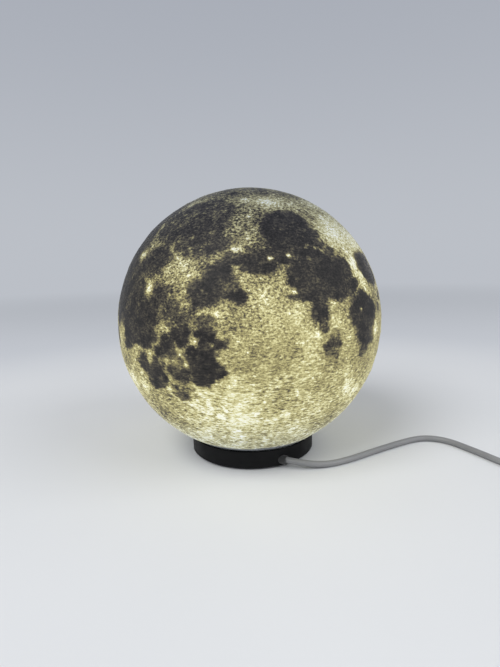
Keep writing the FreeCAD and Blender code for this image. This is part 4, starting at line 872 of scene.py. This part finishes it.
def light_board():
    """White solder resist on aluminium: faint copper tracks under it, scuffs and a bare edge."""
    f = Finish("light_board")
    rings = f.math("SINE", f.times(f.reach(), 2100.0))
    track = f.span(rings, 0.55, 0.75)
    resist = f.two_tones(f.noise(200, 3), (0.72, 0.72, 0.69), (0.79, 0.79, 0.77))
    face = f.mix(f.times(track, 0.25), resist, (0.62, 0.63, 0.60))
    on_face = f.span(f.coordinate("Z"), LED_BOARD_FACE - 0.00015, LED_BOARD_FACE)
    f.set(Base_Color=f.mix(on_face, (0.55, 0.56, 0.57), face), Roughness=0.42)
    f.bump(f.plus(f.times(track, 0.7), f.noise(900, 2)), 0.00003, 0.6)
    return f.item


def led_chip():
    """White packages with a yellow phosphor window in the middle of each."""
    f = Finish("led")
    angle = f.math("ARCTAN2", f.coordinate("Y"), f.coordinate("X"))
    turn = f.times(angle, LED_COUNT / (2 * math.pi))
    side = f.gap(f.math("FRACT", turn), 0.5)
    across = f.times(side, LED_RING * 2 * math.pi / LED_COUNT)
    along = f.gap(f.reach(), LED_RING)
    window = f.math("MAXIMUM", f.times(across, 0.8), f.times(along, 0.66))
    on_face = f.span(f.coordinate("Z"), CHIP_FACE - 0.00012, CHIP_FACE)
    gel = f.times(f.span(window, 0.00092, 0.00078), on_face)
    speck = f.two_tones(f.noise(2500, 3), (0.86, 0.60, 0.07), (0.95, 0.74, 0.16))
    case = f.two_tones(f.noise(500, 2), (0.78, 0.77, 0.73), (0.86, 0.85, 0.82))
    f.set(Base_Color=f.mix(gel, case, speck), Roughness=f.between(gel, 0.45, 0.18),
          Emission_Color=f.mix(gel, (0, 0, 0), (1.0, 0.86, 0.5)), Emission_Strength=0.5)
    f.bump(f.plus(f.times(gel, -1.0), f.noise(1500, 2)), 0.00005, 0.6)
    return f.item


def circuit_board():
    """Green resist over tracks that run in square steps, with bright pads between them."""
    f = Finish("circuit_board")
    jog = f.times(f.math("ROUND", f.times(f.noise(160, 0), 7.0)), 1.6)
    lines = f.math("SINE", f.plus(f.times(f.coordinate("Y"), 5200.0), jog))
    track = f.span(lines, 0.2, 0.45)
    pads = f.span(f.cells(420), 0.16, 0.12)
    resist = f.mix(track, (0.012, 0.085, 0.032), (0.025, 0.16, 0.06))
    speckle = f.mix(f.times(f.noise(1500, 2), 0.25), resist, (0.03, 0.10, 0.05))
    f.set(Base_Color=f.mix(pads, speckle, (0.62, 0.62, 0.58)),
          Roughness=f.between(pads, 0.32, 0.22), Metallic=f.times(pads, 0.8))
    f.bump(f.plus(track, pads), 0.00004, 0.7)
    return f.item


def board_parts():
    """Each little body in its own tone by where it stands: ferrite, can and black packages."""
    f = Finish("board_parts")
    left = f.span(f.coordinate("X"), -0.0052, -0.0050, 1.0, 0.0)
    back = f.span(f.coordinate("Y"), -0.0005, 0.0005)
    marks = f.noise(700, 3, 0.5, f.stretch((1, 1, 5)))
    can = f.two_tones(marks, (0.50, 0.51, 0.53), (0.66, 0.67, 0.69))
    ferrite = f.two_tones(f.noise(1200, 4), (0.045, 0.043, 0.042), (0.085, 0.082, 0.080))
    black = f.two_tones(f.noise(900, 3), (0.018, 0.018, 0.020), (0.036, 0.036, 0.038))
    f.set(Base_Color=f.mix(left, black, f.mix(back, can, ferrite)), Roughness=0.45)
    f.bump(f.noise(1600, 3), 0.00003, 0.6)
    return f.item


def band():
    """Woven hook-and-loop band: fine ribs both ways and a fuzzy nap."""
    f = Finish("tie_band")
    ribs = f.times(f.waves(420, 0.8, "Y"), f.waves(300, 0.8, "X"))
    weave = f.plus(ribs, f.times(f.noise(2400, 4, 0.7), 0.6))
    f.set(Base_Color=f.two_tones(weave, (0.008, 0.008, 0.009), (0.045, 0.045, 0.048), 0.25, 0.8),
          Roughness=0.85, Sheen_Weight=0.35, Sheen_Roughness=0.5)
    f.bump(weave, 0.00012, 0.9)
    return f.item


def button_cap():
    """Lighter cap with a thumb-polished middle and fine turned rings."""
    f = Finish("button_plastic")
    out = f.reach((SWITCH_AT[0] * MM, SWITCH_AT[1] * MM, 0.0))
    rings = f.math("SINE", f.times(out, 9000.0))
    worn = f.span(out, 0.0032, 0.0008)
    tone = f.two_tones(f.noise(400, 3), (0.30, 0.30, 0.31), (0.36, 0.36, 0.37))
    f.set(Base_Color=f.mix(f.times(worn, 0.5), tone, (0.44, 0.44, 0.45)),
          Roughness=f.between(worn, 0.46, 0.26))
    f.bump(f.plus(f.times(rings, 0.4), f.noise(1500, 2)), 0.00003, 0.6)
    return f.item


def dress(finish, *names):
    for name in names:
        slots = NODES[name].data.materials
        slots.clear()
        slots.append(finish)


def dress_nodes():
    """Finishes for the nodes that keep their solids."""
    black = moulded("black_plastic", (0.0035, 0.0035, 0.004), 0.5,
                    grain=1600, depth=0.00002, shine=0.16)
    dress(black, "base_shell", "base_cover", "switch_core")
    dress(moulded("white_plastic", WHITE_PLASTIC, 0.42), "globe_collar")
    dress(moulded("tongue_plastic", WHITE_PLASTIC, 0.40), "plug_tongue")
    shells = moulded("grey_shells", GREY_PLASTIC, 0.48, seam=SWITCH_SEAM)
    dress(shells, "switch_lower_shell", "switch_upper_shell")
    dress(clear_rubber(), "seat_ring")
    dress(rubber("sleeve_rubber", BLACK_RUBBER), "cord_grommet")
    dress(metal("contact_metal", (0.83, 0.66, 0.34), 0.24), "switch_contacts", "plug_contacts")
    dress(metal("plug_metal", (0.66, 0.66, 0.67), 0.22, (1, 14, 1)), "plug_sleeve")
    dress(lead_finish("red_sleeve", (0.50, 0.025, 0.02)), "red_wires", "switch_red_wires")
    dress(lead_finish("black_sleeve", (0.02, 0.02, 0.022)), "black_wires", "switch_black_wire")
    dress(light_board(), "led_board")
    dress(led_chip(), "led_chips")
    dress(opal(), "light_diffuser")
    dress(circuit_board(), "driver_board")
    dress(board_parts(), "driver_parts")
    dress(button_cap(), "switch_button")


# ---------------- outlines and skins
# In millimetres, from here on.


def loft(name, runs, finish, sharp=38):
    """Skins each run of rings, closes its ends, and lets it ride the base."""
    verts, faces = [], []
    for rings in runs:
        count = len(rings[0])
        first = len(verts)
        verts += [tuple(p) for ring in rings for p in ring]
        for r in range(len(rings) - 1):
            faces += strip(first + r * count, first + (r + 1) * count, count)
        faces.append(tuple(range(first, first + count)))
        faces.append(tuple(range(len(verts) - count, len(verts))))
    mesh = bpy.data.meshes.new(name)
    mesh.from_pydata(in_metres(verts), [], faces)
    skin = bmesh.new()
    skin.from_mesh(mesh)
    bmesh.ops.recalc_face_normals(skin, faces=skin.faces)
    skin.to_mesh(mesh)
    skin.free()
    mesh.shade_smooth()
    mesh.set_sharp_from_angle(angle=math.radians(sharp))
    mesh.materials.append(finish)
    item = add_object(name, mesh)
    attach(item, "base")
    return item


def rounded(wide, tall, corner, between=(), steps=8):
    """A round-cornered outline by its half sizes; between adds corners along its long sides."""
    outline = []
    for quarter in range(4):
        side_x = 1 if quarter in (0, 3) else -1
        side_y = 1 if quarter in (0, 1) else -1
        for i in range(steps + 1):
            angle = math.pi / 2 * (quarter + i / steps)
            outline.append((side_x * (wide - corner) + corner * math.cos(angle),
                            side_y * (tall - corner) + corner * math.sin(angle)))
        if quarter in (0, 2):
            outline += [(side_y * x, side_y * tall) for x in between]
    return outline


def circle(radius, count=40, first=0):
    """Places spaced evenly on a circle, from a first angle in degrees."""
    turns = [math.radians(first + 360 * i / count) for i in range(count)]
    return [(radius * math.cos(a), radius * math.sin(a)) for a in turns]


def ribbed(along, root, tip, reach, pitch, depth):
    """Radius of a ribbed sleeve at a distance along it; its ends stay plain."""
    radius = root + (tip - root) * along / reach
    if not 0.8 < along < reach - 0.5:
        return radius
    return radius - depth * step(math.sin(2 * math.pi * along / pitch), 0.0, 0.5)


# ---------------- screws and feet

THREAD_PITCH = 0.7
THREAD_DEPTH = 0.12
POINT_LONG = 0.8
LEVEL_STEP = 0.1
ROUND_POINTS = 48

FEET_RADIUS = 26.0
# height and radius, from the top of a foot round its rim to its slightly hollow sole
FOOT_PROFILE = [(1.6, 3.9), (1.5, 4.0), (0.4, 4.0), (0.15, 3.92), (0.03, 3.7), (0.0, 3.4),
                (0.05, 2.8), (0.12, 0.5)]


def cross_outline(arm):
    """Outline of a cross recess; the corners of its arms fall on every second point."""
    outline = []
    half = arm * math.tan(math.radians(15))
    for i in range(ROUND_POINTS):
        turn = 2 * math.pi * i / ROUND_POINTS
        off = abs((turn + math.pi / 4) % (math.pi / 2) - math.pi / 4)
        reach = arm / math.cos(off) if off < math.radians(15.1) else half / math.sin(off)
        outline.append((reach * math.cos(turn), reach * math.sin(turn)))
    return outline


def screw_rings(x, y, seat, head, thick, shank, long, way):
    """Rings of one screw from its point to its cross recess; way is 1 for a head on top."""
    levels = []
    for i in range(int(long / LEVEL_STEP)):
        along = long - LEVEL_STEP * i
        groove = min(0.0, THREAD_DEPTH * math.sin(2 * math.pi * along / THREAD_PITCH))
        point = min(1.0, (long - along + 0.15) / POINT_LONG)
        levels.append((-along, circle(max(0.1, (shank - 0.06 + groove) * point), ROUND_POINTS)))
    for z, radius in (
        (-0.02, shank), (0.0, head - 0.05), (0.05, head), (thick * 0.55, head),
        (thick * 0.8, head * 0.95), (thick * 0.95, head * 0.84), (thick, head * 0.70),
    ):
        levels.append((z, circle(radius, ROUND_POINTS)))
    for z, arm in ((thick, head * 0.56), (thick * 0.9, head * 0.52), (thick * 0.4, head * 0.40)):
        levels.append((z, cross_outline(arm)))
    return [[(x + u, y + v, seat + way * z) for u, v in ring] for z, ring in levels]


def make_screws(steel):
    """Small pan-head screws with cross recesses."""
    in_switch = [(SWITCH_AT[0] + 11.0 * side, SWITCH_AT[1] + 5.0 * side) for side in (-1, 1)]
    for node, places, seat, head, thick, shank, long, way in (
        ("cover_screws", circle(30.4, 4), 1.8, 1.9, 0.9, 1.0, 4.3, -1),
        ("led_board_screws", circle(20.5, 3, first=30), 11.96, 1.9, 0.9, 1.0, 5.0, 1),
        ("driver_screws", [(-12.8, -5.8), (8.8, 5.8)], 4.6, 1.5, 0.8, 0.8, 2.8, 1),
        ("switch_screws", in_switch, 1.4, 1.5, 0.8, 0.8, 6.3, -1),
    ):
        runs = [screw_rings(x, y, seat, head, thick, shank, long, way) for x, y in places]
        item = loft(node.replace("screws", "fixings"), runs, steel)
        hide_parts(node)


def make_feet():
    """Rubber feet with rounded rims."""
    runs = [[[(x + u, y + v, z) for u, v in circle(radius, ROUND_POINTS)]
             for z, radius in FOOT_PROFILE] for x, y in circle(FEET_RADIUS, 4, first=45)]
    item = loft("sole_pads", runs, rubber("foot_rubber", BLACK_RUBBER))
    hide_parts("foot_pads")


# ---------------- the plug's grip
# Distances are along the lead, from where it enters the strain relief.

PLUG_AT = (230.0, 28.0, 4.0)
RELIEF_LONG = 9.5
RELIEF_FROM = -0.4
RELIEF_STEP = 0.105
RELIEF_RINGS = 95
# distance along the grip, and half its width or thickness there
GRIP_WIDE = [(9.0, 5.2), (9.3, 6.1), (10.0, 6.9), (11.2, 7.45), (13.0, 7.7), (20.0, 7.3),
             (27.0, 7.65), (30.2, 7.7), (30.7, 7.5), (31.0, 7.1)]
GRIP_TALL = [(9.0, 2.9), (9.3, 3.35), (10.0, 3.7), (11.2, 3.92), (13.0, 4.0), (30.2, 4.0),
             (30.7, 3.85), (31.0, 3.55)]
GRIP_RINGS_BEFORE = [9.0, 9.15, 9.3, 9.6, 10.0, 10.5, 11.2, 12.0, 13.0, 14.0, 15.0]
GRIP_RINGS_AFTER = [25.5, 27.0, 28.5, 30.2, 30.45, 30.7, 30.88, 31.0]
GROOVES_FROM = 15.4
GROOVES_TO = 24.4
GROOVE_PITCH = 1.5
GROOVE_DEPTH = 0.32
RINGS_PER_GROOVE = 12
GROOVE_HALF = 4.0
# corners across a flat side, two at each end of the grooves
GROOVE_CORNERS = (4.25, 3.95, 0.0, -3.95, -4.25)


def at_plug(along, outline):
    return [(PLUG_AT[0] + x, PLUG_AT[1] + along, PLUG_AT[2] + z) for x, z in outline]


def grip_ring(along):
    """A cross-section of the grip, with finger grooves across its flat sides."""
    wide = np.interp(along, *zip(*GRIP_WIDE))
    tall = np.interp(along, *zip(*GRIP_TALL))
    wave = math.sin(2 * math.pi * (along - GROOVES_FROM) / GROOVE_PITCH)
    sunk = GROOVE_DEPTH * step(wave, 0.0, 0.6) if GROOVES_FROM < along < GROOVES_TO else 0.0
    outline = []
    for x, z in rounded(wide, tall, min(2.6, tall - 0.4, wide - 4.35), GROOVE_CORNERS):
        dip = sunk if abs(x) < GROOVE_HALF and abs(z) > tall - 0.01 else 0.0
        outline.append((x, z - math.copysign(dip, z)))
    return at_plug(along, outline)


def make_plug_grip(finish):
    """Ribbed strain relief and a waisted grip with finger grooves."""
    relief_rings = []
    for i in range(RELIEF_RINGS):
        along = RELIEF_FROM + RELIEF_STEP * i
        radius = ribbed(max(along, 0.0), root=2.45, tip=3.6,
                        reach=RELIEF_LONG, pitch=1.7, depth=0.5)
        relief_rings.append(at_plug(along, circle(radius)))
    grooves = [GROOVES_FROM + GROOVE_PITCH / RINGS_PER_GROOVE * i
               for i in range(6 * RINGS_PER_GROOVE + 1)]
    grip_rings = [grip_ring(along) for along in GRIP_RINGS_BEFORE + grooves + GRIP_RINGS_AFTER]
    item = loft("plug_grip", [relief_rings, grip_rings], finish)
    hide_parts("plug_body")


# ---------------- the switch's sleeves and spring

SLEEVE_LONG = 4.8
SLEEVE_STEP = 0.1
SLEEVE_RINGS = 49
INLET_X = 171.8
OUTLET_X = 205.2
SPRING_LOW = 4.25
SPRING_HIGH = 7.55
SPRING_TURNS = 3.5
SPRING_RADIUS = 2.5
WIRE_RADIUS = 0.2
SPRING_STEPS = 160


def make_switch_sleeves(finish):
    """Ribbed collars where the lead enters and leaves the switch."""
    for name, start, way in (
        ("switch_inlet_sleeve", INLET_X, -1), ("switch_outlet_sleeve", OUTLET_X, 1),
    ):
        rings = []
        for i in range(SLEEVE_RINGS):
            along = SLEEVE_STEP * i
            radius = ribbed(along, root=3.1, tip=2.45, reach=SLEEVE_LONG, pitch=1.3, depth=0.38)
            x = start + way * along
            rings.append([(x, SWITCH_AT[1] + y, SWITCH_AT[2] + z) for y, z in circle(radius)])
        loft(name, [rings], finish)


def make_spring(steel):
    """A wound wire with flatter end turns."""
    rings = []
    for i in range(SPRING_STEPS + 1):
        t = i / SPRING_STEPS
        rise = 0.4 * t * t * (3 - 2 * t) + 0.6 * t
        middle = SPRING_LOW + (SPRING_HIGH - SPRING_LOW) * rise
        angle = 2 * math.pi * SPRING_TURNS * t
        rings.append([
            (SWITCH_AT[0] + (SPRING_RADIUS + out) * math.cos(angle),
             SWITCH_AT[1] + (SPRING_RADIUS + out) * math.sin(angle), middle + up)
            for out, up in circle(WIRE_RADIUS, 8)
        ])
    item = loft("button_spring", [rings], steel, sharp=180)
    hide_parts("switch_spring")
    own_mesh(item)


# ---------------- the coil's strap

STRAP_LEFT = COIL_AT[0] - COIL_RADIUS + TURN_PITCH / 2
STRAP_RIGHT = STRAP_LEFT + 2 * TURN_PITCH
STRAP_BEND = LEAD_RADIUS + 0.4
STRAP_UNDER = LOWER_LAYER - 0.28
STRAP_HALF_WIDE = 2.0
STRAP_HALF_THICK = 0.3
# where the strap starts on top of the coil, and how its end lies over the start and then lifts
STRAP_START = (179.4, 180.4, 181.8, 183.2, 184.6, 185.8)
STRAP_END = [(179.0, 0.28), (179.6, 0.58), (180.6, 0.66), (182.0, 0.66), (184.0, 0.66),
             (185.6, 0.68), (186.6, 0.80), (187.4, 1.08), (188.0, 1.45)]


def strap_line():
    """Middle of the strap round the coil's turns: once round, then over itself, ending lifted."""
    line = [(x, UPPER_LAYER + STRAP_BEND) for x in STRAP_START]
    for x, z, start in (
        (STRAP_RIGHT, UPPER_LAYER, 90), (STRAP_RIGHT, STRAP_UNDER, 0),
        (STRAP_LEFT, STRAP_UNDER, -90), (STRAP_LEFT, UPPER_LAYER, -180),
    ):
        angles = [math.radians(start - 90 * i / 8) for i in range(9)]
        line += [(x + STRAP_BEND * math.cos(a), z + STRAP_BEND * math.sin(a)) for a in angles]
    return line + [(x, UPPER_LAYER + STRAP_BEND + rise) for x, rise in STRAP_END]


def make_coil_strap(finish):
    """A hook-and-loop strap pulled snug round the two layers of turns."""
    line = [Vector(point) for point in strap_line()]
    section = rounded(STRAP_HALF_WIDE, STRAP_HALF_THICK, 0.18, steps=3)
    rings = []
    for i, at in enumerate(line):
        along = (line[min(i + 1, len(line) - 1)] - line[max(i - 1, 0)]).normalized()
        out = Vector((-along.y, along.x))
        rings.append([(at.x + out.x * v, COIL_AT[1] + u, at.y + out.y * v) for u, v in section])
    item = loft("coil_strap", [rings], finish)
    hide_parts("coil_tie")


# ---------------- the whole scene
# A lead's pieces are made before the lead.


def make_lead_pieces():
    grey = moulded("grey_plastic", GREY_PLASTIC, 0.48)
    make_plug_grip(grey)
    make_switch_sleeves(grey)
    make_coil_strap(band())
    steel = metal("screw_steel", (0.56, 0.56, 0.57), 0.30)
    make_screws(steel)
    make_feet()
    make_spring(steel)


make_camera()
make_lead_pieces()
make_leads()
make_stage()
make_lights()
make_room()
make_globe()
dress_nodes()
